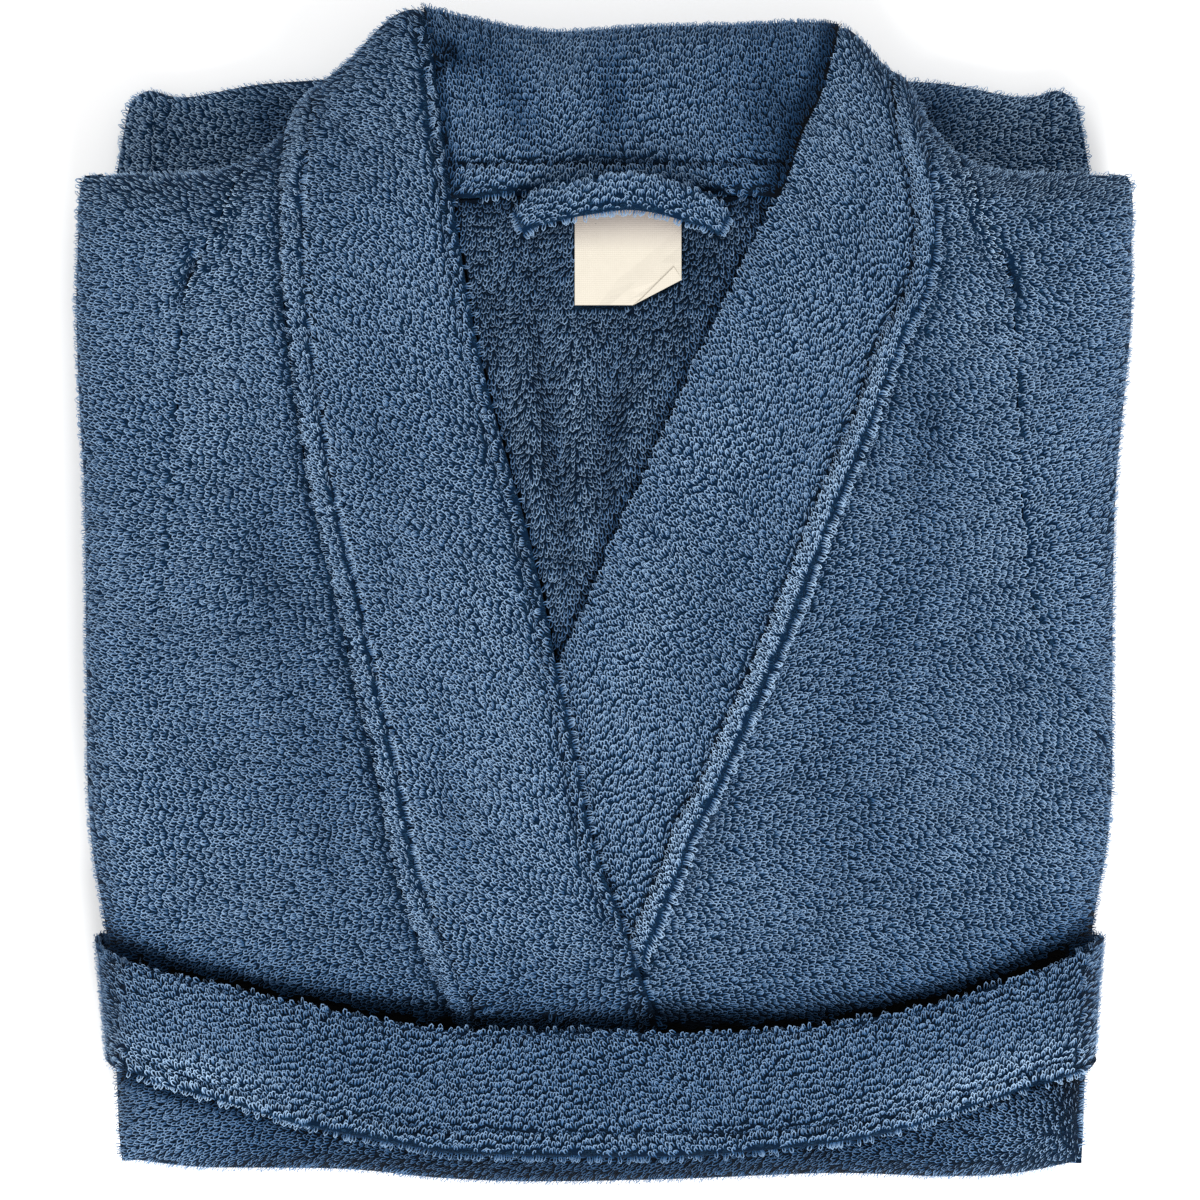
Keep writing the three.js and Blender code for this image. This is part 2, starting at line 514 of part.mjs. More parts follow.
function cuff(name, sign) {
  const xs = [107, 120, 134, 148, 158, 166, 170, 173, 176, 180, 184, 187];
  const loop = (x, into) => {
    const [y0, y1] = [CUFF.near + into, cuffTop(x) - into];
    const half = CUFF.height / 2 - into;
    const bump = into === 0 ? CUFF.ridge * Math.exp(-(((x - 173) / 2.5) ** 2)) : 0;
    const end = Math.min(half, (y1 - y0) / 2);
    const outline = [];
    const add = (y, z) => outline.push([y, z]);
    span(4, 0, 1).forEach((t) => add(mix(y0 + end, y1 - end, t), half + bump));
    [0.25, 0.5, 0.75].forEach((t) => add(y1 - end + end * Math.sin(t * Math.PI), half * Math.cos(t * Math.PI)));
    span(4, 1, 0).forEach((t) => add(mix(y0 + end, y1 - end, t), -half));
    [0.25, 0.5, 0.75].forEach((t) => add(y0 + end - end * Math.sin(t * Math.PI), -half * Math.cos(t * Math.PI)));
    const slant = smooth((x - 160) / 27) * 9;
    return outline.map(([y, z]) => {
      const lean = (y - CUFF.near) / (199 - CUFF.near);
      return [sign * (x - slant * lean + 2 * smooth((x - 150) / 30)), y, CUFF.lift - CUFF.tilt * (y - CUFF.near) + z];
    });
  };
  const outer = xs.map((x) => loop(x, 0));
  const inner = xs.map((x) => loop(x, CUFF.wall)).reverse();
  return sweep(name, [...outer, ...inner], true);
}

// ---- belt --------------------------------------------------------------------------------
function belt() {
  // Over the fronts, the bands under it lift it a little.
  const hump = (x) => 5.2 * smooth((x + 104) / 42) * smooth((68 - x) / 42);
  const clearAt = (x) => 1.1 + 0.9 * smooth((Math.abs(x) - 150) / 25);
  const clear = 2.0;
  const [low, high] = [-183, -132];
  const section = [[0, 0.5], [0.02, 0.95], [0.09, 1], [0.5, 1], [0.91, 1], [0.98, 0.95], [1, 0.5], [0.97, 0],
    [0.75, 0], [0.5, 0], [0.25, 0], [0.03, 0]];
  const rings = [];
  const topX = [...span(5, -1, -0.89), ...span(18, -0.86, 0.86), ...span(5, 0.89, 1)];
  topX.forEach((t) => {
    const x = t * (t < 0 ? -sideLeft(-157) : sideRight(-157));
    rings.push(section.map(([e, h]) => {
      const y = mix(beltLow(x), beltUp(x), e);
      const side = x < 0 ? sideLeft(y) : sideRight(y);
      const scaled = t * Math.abs(side);
      return face(scaled, y, -(clearAt(x) + hump(x) + h * BELT));
    }));
  });
  const down = [{ z: 27, inset: 0.2 }, { z: 17, inset: 1.2 }, { z: 9, inset: 2.5 }];
  const sideRing = (sign, z, inset) => section.map(([e, h]) => {
    const y = mix(low, high, e);
    const side = Math.abs(sign < 0 ? sideLeft(y) : sideRight(y));
    return [sign * (side + clear - inset + h * BELT), y, z];
  });
  const cornerRing = (sign) => section.map(([e, h]) => {
    const y = mix(low + 1, high - 1, e);
    const side = Math.abs(sign < 0 ? sideLeft(y) : sideRight(y));
    return [sign * (side - 7 + h * 6), y, BELT_UNDER * (1 - h)];
  });
  down.forEach(({ z, inset }) => rings.push(sideRing(1, z, inset)));
  rings.push(cornerRing(1));
  span(5, 150, -150).forEach((x) => rings.push(section.map(([e, h]) => [x, mix(low + 1, high - 1, e),
    BELT_UNDER * (1 - h)])));
  rings.push(cornerRing(-1));
  [...down].reverse().forEach(({ z, inset }) => rings.push(sideRing(-1, z, inset)));
  return sweep('belt', rings, true);
}

// ---- hanger loop and label ---------------------------------------------------------------
const LOOP = { wide: 14.2, thick: 5.4 };
const LOOP_PATH = { x: [-33, -28, -17, -3, 9, 22, 34, 43, 47], y: [143, 147.5, 151, 153.5, 155, 153.5, 150, 146.5, 142] };

function hangerLoop() {
  const line = curve(LOOP_PATH.x, LOOP_PATH.y);
  const around = span(13, 0, 2 * Math.PI).slice(0, -1);
  const rings = span(17, -33, 47).map((x, i) => {
    const t = i / 16;
    const y = line(x);
    const slope = (line(x + 0.5) - line(x - 0.5));
    const long = Math.hypot(1, slope);
    const end = Math.min(1, 0.72 + 2.2 * Math.min(t, 1 - t));
    const rise = 2.0 + 3.2 * Math.sin(Math.PI * t) ** 0.6;
    return around.map((a) => {
      const across = (LOOP.wide / 2) * end * Math.sign(Math.cos(a)) * Math.abs(Math.cos(a)) ** 0.75;
      const [px, py] = [x - (slope / long) * across, y + across / long];
      const up = (LOOP.thick / 2) * end * Math.sin(a);
      const ground = faceHeight(px, Math.min(py, 190));
      const bed = faceHeight(x, y);
      return [px, py, mix(ground, bed, 0.3) + LOOP.thick / 2 + rise + 1.6 + up];
    });
  });
  return sweep('hanger_loop', rings);
}

const LABEL_BOX = { left: -11.1, right: 30.2, top: 149.5, bottom: 111.7, cutX: 11.5, cutY: 121.5 };
function label() {
  const ys = [LABEL_BOX.bottom, 114, 117, LABEL_BOX.cutY, 128, 135, 142, LABEL_BOX.top];
  const right = (y) => mix(LABEL_BOX.cutX, LABEL_BOX.right,
    clamp((y - LABEL_BOX.bottom) / (LABEL_BOX.cutY - LABEL_BOX.bottom), 0, 1));
  // The turned corner lies doubled beside the cut line.
  const grid = (inner) => ys.map((y) => span(6, 0, 1).map((t) => {
    const x = mix(LABEL_BOX.left, right(y), t);
    const turned = smooth((x - (LABEL_BOX.left + (y - 100) * 0.9)) / 3) * smooth((132 - y) / 6);
    return [x, y, faceHeight(x, y) + 0.6 + (inner ? 0 : LABEL * (1 + 0.6 * turned))];
  }));
  return wall('label', grid(false), grid(true), CREAM);
}

// ---- the part ----------------------------------------------------------------------------
const part = new THREE.Group();
part.name = 'folded_bathrobe';
part.add(foldedLayers(), skirtFold());
part.add(...sidePieces(-1, armholeLeft, overSeam, 'left', 'front_over'));
part.add(...sidePieces(1, armholeRight, underSeam, 'right', 'front_under'));
part.add(...collar());
part.add(cuff('cuff_left', -1), cuff('cuff_right', 1));
part.add(belt(), hangerLoop(), label());

// The origin is the middle of the pack's box, on the table.
const box = new THREE.Box3().setFromObject(part);
const centre = box.getCenter(new THREE.Vector3());
part.children.forEach((piece) => piece.geometry.translate(-centre.x, -centre.y, -box.min.z));

export default part;
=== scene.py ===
"""A folded terry bathrobe with a kimono collar band, on a pale table, seen from above."""

import math

import bmesh
import bpy
import numpy as np
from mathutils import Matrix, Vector
from mathutils.bvhtree import BVHTree


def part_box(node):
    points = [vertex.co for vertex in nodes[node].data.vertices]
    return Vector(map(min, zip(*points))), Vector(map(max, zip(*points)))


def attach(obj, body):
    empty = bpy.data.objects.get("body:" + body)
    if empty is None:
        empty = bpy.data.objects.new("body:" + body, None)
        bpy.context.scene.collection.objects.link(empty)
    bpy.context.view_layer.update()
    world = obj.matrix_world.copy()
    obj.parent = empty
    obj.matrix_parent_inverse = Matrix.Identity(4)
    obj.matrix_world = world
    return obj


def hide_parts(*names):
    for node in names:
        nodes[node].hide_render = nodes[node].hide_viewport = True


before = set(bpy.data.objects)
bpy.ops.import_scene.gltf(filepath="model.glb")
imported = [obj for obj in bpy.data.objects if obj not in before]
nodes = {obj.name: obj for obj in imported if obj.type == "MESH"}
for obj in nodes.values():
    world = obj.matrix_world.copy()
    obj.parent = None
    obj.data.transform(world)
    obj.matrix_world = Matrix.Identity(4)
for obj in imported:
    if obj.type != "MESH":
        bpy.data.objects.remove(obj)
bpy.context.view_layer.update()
MM = 0.001

# ---------------------------------------------------------------------------------------
# View, table and light. The pack lies on its back and the camera looks straight down on it.
# The table is plain and pale. One lamp stands over the foot of the pack and a softer one
# over its head.
# ---------------------------------------------------------------------------------------
VIEW_WIDTH = 468 * MM
VIEW_LENS = 260
VIEW_SENSOR = 36
VIEW_LEVEL = 38 * MM
VIEW_CENTRE = (-1.8 * MM, -3.9 * MM)
SHEEN_TINT = (0.45, 0.66, 1, 1)
TABLE_GLOW = 0.3
ROOM_LIGHT = 0.55
LAMPS = [
    # name, place, size, power
    ("lamp_foot", (0.3, -1.5, 1.4), 0.8, 48),
    ("lamp_head", (-0.3, 1.3, 1.9), 1.6, 20),
]

camera_data = bpy.data.cameras.new("camera")
camera_data.lens = VIEW_LENS
camera_data.sensor_width = VIEW_SENSOR
camera_data.dof.use_dof = False
camera = bpy.data.objects.new("camera", camera_data)
camera.location = (*VIEW_CENTRE, VIEW_LEVEL + VIEW_WIDTH * VIEW_LENS / VIEW_SENSOR)
bpy.context.scene.collection.objects.link(camera)
bpy.context.scene.camera = camera


class Thread:
    """An output socket of a node tree, which takes part in sums."""

    def __init__(self, loom, socket):
        self.loom = loom
        self.socket = socket

    def reckon(self, operation, other=0.0, swapped=False):
        first, second = (other, self) if swapped else (self, other)
        return self.loom.node(self.loom.maths, {"operation": operation}, {0: first, 1: second})

    def __add__(self, other):
        return self.reckon("ADD", other)

    def __radd__(self, other):
        return self.reckon("ADD", other, True)

    def __sub__(self, other):
        return self.reckon("SUBTRACT", other)

    def __rsub__(self, other):
        return self.reckon("SUBTRACT", other, True)

    def __mul__(self, other):
        return self.reckon("MULTIPLY", other)

    def __rmul__(self, other):
        return self.reckon("MULTIPLY", other, True)

    def __pow__(self, other):
        return self.reckon("POWER", other)


class Loom:
    """A node tree that is being made, of a material or of a pile."""

    maths = "ShaderNodeMath"

    def __init__(self, tree):
        self.tree = tree

    def node(self, kind, settings=None, inputs=None, output=0):
        made = self.tree.nodes.new(kind)
        for name, value in (settings or {}).items():
            if name == "stops":
                ramp = made.color_ramp
                while len(ramp.elements) < len(value):
                    ramp.elements.new(0.5)
                for element, (place, colour) in zip(ramp.elements, value):
                    element.position = place
                    element.color = (*colour, 1)
            else:
                setattr(made, name, value)
        for key, value in (inputs or {}).items():
            if isinstance(value, Thread):
                self.tree.links.new(value.socket, made.inputs[key])
            else:
                made.inputs[key].default_value = value
        return Thread(self, made.outputs[output])


def new_finish(name):
    """An empty material with its shader, and a loom for its tree."""
    finish = bpy.data.materials.new(name)
    finish.use_nodes = True
    finish.node_tree.nodes.clear()
    return finish, Loom(finish.node_tree)


def give(loom, colour, roughness, normal=None, sheen=0.0):
    """Ends a material's tree in one shader."""
    inputs = {"Base Color": colour, "Roughness": roughness, "Sheen Weight": sheen,
              "Sheen Roughness": 0.5, "Sheen Tint": SHEEN_TINT, "Specular IOR Level": 0.1}
    if normal is not None:
        inputs["Normal"] = normal
    shader = loom.node("ShaderNodeBsdfPrincipled", {}, inputs)
    end = loom.tree.nodes.new("ShaderNodeOutputMaterial")
    loom.tree.links.new(shader.socket, end.inputs["Surface"])
    return shader.socket.node


table_finish, loom = new_finish("table_white")
table_shader = give(loom, (0.9, 0.9, 0.9, 1), 0.9)
table_shader.inputs["Emission Color"].default_value = (1, 1, 1, 1)
table_shader.inputs["Emission Strength"].default_value = TABLE_GLOW
bpy.ops.mesh.primitive_plane_add(size=8)
table = bpy.context.object
table.name = "table"
table.data.materials.append(table_finish)

for name, place, size, power in LAMPS:
    lamp_data = bpy.data.lights.new(name, "AREA")
    lamp_data.size = size
    lamp_data.energy = power
    lamp = bpy.data.objects.new(name, lamp_data)
    lamp.location = place
    lamp.rotation_euler = (-Vector(place)).to_track_quat("-Z", "Y").to_euler()
    bpy.context.scene.collection.objects.link(lamp)
world = bpy.data.worlds.new("room")
world.use_nodes = True
world.node_tree.nodes["Background"].inputs["Color"].default_value = (1, 1, 1, 1)
world.node_tree.nodes["Background"].inputs["Strength"].default_value = ROOM_LIGHT
bpy.context.scene.world = world
bpy.context.scene.view_settings.view_transform = "Standard"

# ---------------------------------------------------------------------------------------
# The two fronts: panels of cotton terry from the shoulder to below the belt. The left one
# lies over the right one. Each is sewn to the collar band along its inner edge and to its
# sleeve at the armhole. All the terry has the same ground weave, painted dark between its
# loops: painted shade deep in the pile.
# ---------------------------------------------------------------------------------------
GROUND_SHADE_DARK = (0.001, 0.012, 0.036)
GROUND_SHADE_BLUE = (0.012, 0.046, 0.1)
BARE_DARK = (0.022, 0.05, 0.1)
BARE_LIGHT = (0.135, 0.215, 0.34)
# A run is a list of plan points in millimetres, and MIDDLE is the frame's origin among them.
MIDDLE = (0.48, 1.36)
# The outer seams of the collar band, and the upper edge of the belt.
OVER_SEAM = [(-50, -190), (-60.3, -158), (-70.4, -139), (-75.9, -123), (-81.7, -104), (-85.2, -84),
             (-89.1, -65), (-96.5, -34), (-105.1, 5), (-114.5, 44), (-120.4, 83), (-124.6, 122),
             (-125, 140), (-125.4, 162), (-123, 182), (-119, 240)]
UNDER_SEAM = [(-3, -190), (14, -150), (24.4, -126), (32.9, -106), (36.5, -93), (47.9, -74),
              (54, -58), (64.2, -37), (74.3, -13), (81.3, 4), (86.8, 19), (93.4, 37), (100, 52),
              (107.8, 70), (111.7, 85), (116.8, 97), (124.2, 110), (129, 123), (130.6, 142),
              (128.5, 162), (124, 182), (120, 240)]
BELT_UP = [(-210, -128), (-200, -133), (-187, -140.6), (-174, -144.5), (-150, -150.7), (-125, -157),
           (-100, -161.7), (-75, -166.3), (-50, -169.1), (-17, -169), (43, -169), (73, -168.4),
           (102, -164.4), (132, -158.1), (162, -147.6), (189, -134.4), (200, -128), (210, -124)]
# The top of each armhole.
SHOULDER_LEFT = [(-162, 119), (-157, 132), (-152.3, 136), (-148.4, 144), (-144.9, 156), (-141, 165),
                 (-134, 172)]
SHOULDER_RIGHT = [(158.1, 123), (154.6, 129), (150.3, 136), (148.8, 141), (146.4, 148), (143.3, 160),
                  (139.8, 168)]
BELT_PRESS = 4.6
BELT_PRESS_REACH = 8.5
# The relief starts this far above the table and is full after this much more (mm).
RELIEF_FROM = 30
RELIEF_OVER = 22
# How near the corners of a form are one corner (m), and how sharp an edge is kept hard.
WELD = 2e-6
HARD_EDGE = math.radians(50)
SHARP_EDGE = math.radians(55)
# Soft creases and swellings in all that lies there: path, half width, depth (less than 0 stands up).
CREASES = [
    ([(-154, 136), (-157, 131), (-160, 122), (-161, 114)], 2.6, 2.8),
    ([(150, 136), (152, 132), (155, 126), (158, 115)], 2.6, 2.8),
    ([(-66, 200), (-62, 204), (-56, 211)], 2.2, 3.6),
    ([(-102, 164), (-101, 156), (-103, 146)], 4.0, 1.8),
    ([(108, 158), (107, 148), (103, 138)], 4.5, 1.6),
    ([(-135, 32), (-128, 18), (-121, 5)], 9, 1.3),
    ([(-110, -60), (-104, -86), (-99, -108)], 6, 1.4),
    ([(-86, 84), (-80, 44), (-76, 4)], 8, 1.3),
    ([(-59, -66), (-56, -88), (-54, -108)], 5, 1.4),
    ([(120, 80), (121, 60), (123, 40)], 6, 1.4),
    ([(96, -84), (104, -104), (112, -126)], 9, 1.2),
    ([(66, -40), (74, -66), (78, -92)], 8, 1.0),
    ([(-150, 70), (-152, 30), (-155, -14)], 11, -1.2),
    ([(170, 60), (168, 24), (172, -20)], 11, -1.2),
    ([(-60, 20), (-52, -12), (-44, -40)], 8, -0.9),
    ([(-40, 196), (-30, 180), (-28, 170)], 6, 1.5),
    ([(-2, 212), (0, 190), (-4, 170)], 7, 1.4),
    ([(-18, 208), (-14, 190), (-16, 174)], 5, -1.0),
    ([(22, 214), (24, 196), (20, 176)], 5, -0.9),
    ([(52, 208), (44, 188), (40, 170)], 8, 1.4),
]
SWELLS = [
    # wavelength (mm), direction (degrees), height (mm), phase
    (74, 12, 0.55, 0.4), (52, 97, 0.5, 1.9), (33, 58, 0.34, 4.1), (27, 151, 0.3, 2.6), (17, 24, 0.2, 5.0),
    (13.5, 109, 0.18, 0.9), (10.5, 71, 0.12, 3.3),
]


def mixed(loom, factor, first, second, **settings):
    """Two colours, the second over the first by a factor."""
    return loom.node("ShaderNodeMix", {"data_type": "RGBA", **settings},
                     {"Factor": factor, 6: first, 7: second}, 2)


def dulled(loom, colour, by):
    """A colour times a value."""
    grey = loom.node("ShaderNodeCombineColor", {}, {0: by, 1: by, 2: by})
    return mixed(loom, 1.0, colour, grey, blend_type="MULTIPLY")


def ground_finish():
    """The ground weave: rings of yarn where the loops go in, painted dark as the shade deep in the pile and
    dimmed by the painted shade in its tone. A tone above 1 bares it.
    """
    finish, loom = new_finish("terry_ground")
    place = loom.node("ShaderNodeTexCoord", {}, {}, "Object")
    fuzz = loom.node("ShaderNodeTexNoise", {}, {"Vector": place, "Scale": 420.0, "Detail": 2.0}, "Color")
    strayed = loom.node("ShaderNodeVectorMath", {"operation": "MULTIPLY_ADD"},
                        {0: fuzz, 1: (0.0012,) * 3, 2: place})
    short = loom.node("ShaderNodeMapping", {}, {"Vector": strayed, "Scale": (0.8, 1.15, 0.6)})
    cell = loom.node("ShaderNodeTexVoronoi", {"feature": "F1"},
                     {"Vector": short, "Scale": 520.0, "Randomness": 0.9}, "Distance")
    ring = (1 - (cell - 0.4).reckon("ABSOLUTE") * 5.0).reckon("MAXIMUM", 0.0)
    tone = loom.node("ShaderNodeAttribute", {"attribute_name": "tone"}, {}, "Fac")
    hidden = dulled(loom, mixed(loom, ring, (*GROUND_SHADE_DARK, 1), (*GROUND_SHADE_BLUE, 1)),
                    tone.reckon("MINIMUM", 1.0))
    bare = mixed(loom, ring, (*BARE_DARK, 1), (*BARE_LIGHT, 1))
    colour = mixed(loom, (tone - 1).reckon("MAXIMUM", 0.0), hidden, bare)
    bump = loom.node("ShaderNodeBump", {}, {"Strength": 0.9, "Distance": 0.001, "Height": ring})
    give(loom, colour, 0.95, bump)
    return finish


terry_ground = ground_finish()


def from_run(x, y, run):
    """Signed distance of plan points from a run, and how far along it they are, from 0 to 1.

    To the right of an upward run and above a level one the distance is more than 0.
    """
    x, y = x + MIDDLE[0], y + MIDDLE[1]
    best = np.full(x.shape, 1e9)
    signed = np.zeros(x.shape)
    along = np.zeros(x.shape)
    lengths = [math.dist(a, b) for a, b in zip(run, run[1:])]
    done = 0.0
    for (a, b), length in zip(zip(run, run[1:]), lengths):
        ux, uy = (b[0] - a[0]) / length, (b[1] - a[1]) / length
        forward = (x - a[0]) * ux + (y - a[1]) * uy
        t = np.clip(forward, 0, length)
        away = np.hypot(x - a[0] - t * ux, y - a[1] - t * uy)
        above = (y - a[1]) * ux - (x - a[0]) * uy
        if abs(ux) > abs(uy):
            side = above * (1 if ux > 0 else -1)
        else:
            side = -above * (1 if uy > 0 else -1)
        nearer = away < best
        best = np.where(nearer, away, best)
        signed = np.where(nearer, away * np.sign(side), signed)
        along = np.where(nearer, (done + t) / sum(lengths), along)
        done += length
    return signed, along


def bell(away, reach):
    """1 where away is 0, fading over a reach."""
    return np.exp(-((away / reach) ** 2))


def crease(x, y, run, wide, deep):
    """A soft trough along a run that fades at both ends, between two low banks."""
    away, along = from_run(x, y, run)
    fade = np.sin(np.pi * np.clip(along * 0.9 + 0.05, 0, 1)) ** 0.7
    return -deep * fade * (bell(away, wide) - 0.3 * bell(abs(away) - 2.2 * wide, wide))


def lie(x, y):
    """How far the cloth stands above its plain form at plan points in millimetres."""
    rise = np.zeros(x.shape)
    for length, heading, height, phase in SWELLS:
        a = math.radians(heading)
        across = x * math.cos(a) + y * math.sin(a)
        beside = -x * math.sin(a) + y * math.cos(a)
        sway = 1.3 * np.sin(beside / length * 2.1 + phase)
        rise += height * np.sin(2 * math.pi * across / length + phase + sway)
    for run, wide, deep in CREASES:
        rise += crease(x, y, run, wide, deep)
    return rise


def points_of(mesh):
    points = np.zeros(len(mesh.vertices) * 3)
    mesh.vertices.foreach_get("co", points)
    return points.reshape(-1, 3)


def normals_of(mesh):
    normals = np.zeros(len(mesh.vertices) * 3)
    mesh.vertices.foreach_get("normal", normals)
    return normals.reshape(-1, 3)


def settle(cloth, pressed, pulled, seams):
    """Lays a shell: it rises and sinks with what lies there, then its stitches are drawn in."""
    points = points_of(cloth.data)
    upward = np.clip(normals_of(cloth.data)[:, 2] * 2, 0, 1)
    x, y, z = (points / MM).T
    rise = lie(x, y)
    for press in pressed:
        rise += press(x, y)
    rise *= np.clip((z - RELIEF_FROM) / RELIEF_OVER, 0, 1)
    if pulled is not None:
        sideways, endways = pulled(x, y)
        points[:, 0] += sideways * MM
        points[:, 1] += endways * MM
    for run, beside, wide, deep, _ in seams:
        rise -= deep * upward * bell(from_run(x, y, run)[0] - beside, wide + 0.7)
    points[:, 2] += rise * MM
    cloth.data.vertices.foreach_set("co", points.ravel())
    form = bmesh.new()
    form.from_mesh(cloth.data)
    for edge in form.edges:
        edge.smooth = not (len(edge.link_faces) == 2 and edge.calc_face_angle() > SHARP_EDGE)
    for face in form.faces:
        face.smooth = True
    form.to_mesh(cloth.data)
    form.free()
    cloth.data.update()


def tailor(name, node, refined=2, keep=None, pressed=(), pulled=None, seams=()):
    """A shell on a node's form: welded, its triangles paired, refined and laid."""
    mesh = nodes[node].data.copy()
    form = bmesh.new()
    form.from_mesh(mesh)
    bmesh.ops.remove_doubles(form, verts=form.verts, dist=WELD)
    bmesh.ops.join_triangles(form, faces=form.faces, angle_face_threshold=0.7, angle_shape_threshold=3.14)
    sharp = form.edges.layers.float.new("crease_edge")
    for edge in form.edges:
        if len(edge.link_faces) == 2 and edge.calc_face_angle() > HARD_EDGE:
            edge[sharp] = 1.0
    if keep is not None:
        spare = [face for face in form.faces if not keep(face.calc_center_median(), face.normal)]
        bmesh.ops.delete(form, geom=spare, context="FACES")
    form.to_mesh(mesh)
    form.free()
    mesh.materials.clear()
    mesh.materials.append(terry_ground)
    cloth = bpy.data.objects.new(name, mesh)
    bpy.context.scene.collection.objects.link(cloth)
    refine = cloth.modifiers.new("refine", "SUBSURF")
    refine.levels = refine.render_levels = refined
    evaluated = cloth.evaluated_get(bpy.context.evaluated_depsgraph_get())
    mesh = bpy.data.meshes.new_from_object(evaluated)
    mesh.name = name
    cloth.modifiers.clear()
    cloth.data = mesh
    settle(cloth, pressed, pulled, seams)
    return cloth


stretches = []


class Stretch:
    """A stretch of terry: the shell on its node's form, and what its pile is grown by.

    heading: the way its rows run and its loops lean, in degrees from +X
    wander: how far its rows wander, in millimetres
    light: how light its pile is painted; below 1 this is partly painted shade for a piece that lies low or
    turns from the lamps, above 1 painted light
    """

    # How often its form is refined, and which faces of the form it takes (all of them if None).
    refined = 2
    keep = None
    # What presses it down (mm) and pulls it out (mm across, mm along), by plan points.
    pressed = ()
    pulled = None
    # Its seams: run, how far to its side, half width of the sunken line, depth, how dark the line is
    # painted (painted shade in the sunk stitches; less than 0 is a painted highlight).
    seams = ()
    # Painted shade and painted light for its relief, where it is lighter or darker: middle (x, y),
    # half width, half length, how far that is turned (degrees), by how much. Then its painted
    # shadows, as functions of plan points.
    painted_shading = ()
    dimmed = ()
    # The felled ridge on it, by plan points, where its rows are closer.
    ridge = None
    # Loop step and row step (mm) and how far the rows are shifted (in steps), if not the usual.
    weave = None
    # Whether the loops on its far edges flop over, and how far its open sides are brought in (mm).
    flops = True
    brought_in = 0.25
    # The loops on its steep sides: the air that they need (mm), spacing, size and light.
    air = 16
    side_spacing = 1.0
    side_size = 0.92
    side_light = 1.0
    # How light its ground is under the pile (less than 1 adds painted shade), or the tone of a ground that
    # is bare.
    ground = 1.0
    bare = None
    # Whether its shell is closed, and other shells that go with it.
    closed = True
    beside = ()

    def __init__(self, name, node, heading, wander, light, **own):
        self.node = node
        self.heading = math.radians(heading)
        self.wander = wander
        self.light = light
        for key, value in own.items():
            setattr(self, key, value)
        self.cloth = tailor(name, node, self.refined, self.keep, self.pressed, self.pulled, self.seams)
        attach(self.cloth, "root")
        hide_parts(node)
        stretches.append(self)


def by_belt(x, y):
    """How far the belt presses down what runs in under it."""
    return -BELT_PRESS * bell(from_run(x, y, BELT_UP)[0], BELT_PRESS_REACH)


def belt_shadow(x, y):
    """The shadow above the belt: a dark line, and a wide soft one."""
    above = from_run(x, y, BELT_UP)[0]
    return (1 - 0.85 * bell(np.clip(above - 2, 0, None), 7.5)) * (1 - 0.4 * bell(above, 25))


# The fronts are painted light near the shoulders and painted shade in their hollows; their seam lines are
# painted shade and their armhole lines painted highlights.
Stretch(
    "front_over_cloth", "front_over", heading=174, wander=1.2, light=0.98,
    seams=[(OVER_SEAM, -0.8, 1.2, 0.8, 0.3), (SHOULDER_LEFT, 2.0, 2.4, -0.9, -0.8),
           (SHOULDER_LEFT, 6.5, 1.8, 0.8, 0.16)],
    painted_shading=[(-140, 160, 20, 20, 0, 0.25), (-144, 120, 34, 30, 0, 0.15), (-150, 50, 18, 52, 4, 0.12),
            (-180, -90, 16, 50, 0, 0.1), (-128, 18, 12, 40, 8, -0.2), (-104, -74, 14, 44, 12, -0.16),
            (-112, -96, 30, 66, 8, -0.16), (-140, -30, 20, 30, 0, -0.06),
            (-150, -128, 30, 14, 0, 0.08)],
    pressed=[by_belt], dimmed=[belt_shadow])
Stretch(
    "front_under_cloth", "front_under", heading=6, wander=1.2, light=0.97,
    seams=[(UNDER_SEAM, 0.8, 1.2, 0.6, 0.2), (SHOULDER_RIGHT, -2.0, 2.4, -1.0, -0.8),
           (SHOULDER_RIGHT, -6.5, 1.8, 0.8, 0.16)],
    painted_shading=[(140, 160, 20, 20, 0, 0.25), (144, 120, 34, 30, 0, 0.15), (164, 50, 16, 60, -4, 0.12),
            (122, 58, 9, 34, 0, -0.24), (104, -20, 14, 60, -30, -0.14), (104, -106, 18, 26, 30, -0.1),
            (90, -80, 34, 66, -10, -0.14), (160, -100, 22, 30, 0, 0.06), (70, -110, 12, 40, -20, 0.05)],
    pressed=[by_belt], dimmed=[belt_shadow])

# ---------------------------------------------------------------------------------------
# The sleeves: each is folded in along the side of the pack, so a long narrow stretch of it
# shows beside its front, from the armhole down.
# ---------------------------------------------------------------------------------------
# Each sleeve is painted light along its top edge and painted shade in the dimples at the armhole.
Stretch(
    "sleeve_left_cloth", "sleeve_left", heading=165, wander=1.6, light=1.0,
    seams=[(SHOULDER_LEFT, -1.4, 2.0, -0.5, -0.3)],
    painted_shading=[(-180, 162, 40, 10, 0, 0.4), (-188, 60, 14, 60, 0, -0.03), (-159, 123, 2.0, 9, -24, -0.9),
            (-179, 126, 2, 5, 0, -0.4), (-168, 112, 3, 20, 0, 0.15)])
Stretch(
    "sleeve_right_cloth", "sleeve_right", heading=15, wander=1.6, light=1.0,
    seams=[(SHOULDER_RIGHT, 1.4, 2.0, -0.5, -0.3)],
    painted_shading=[(180, 162, 40, 10, 0, 0.4), (188, 60, 14, 60, 0, -0.03), (156, 125, 2.0, 9, 24, -0.9),
            (176, 126, 2, 5, 0, -0.3), (164, 112, 3, 20, 0, 0.15)])

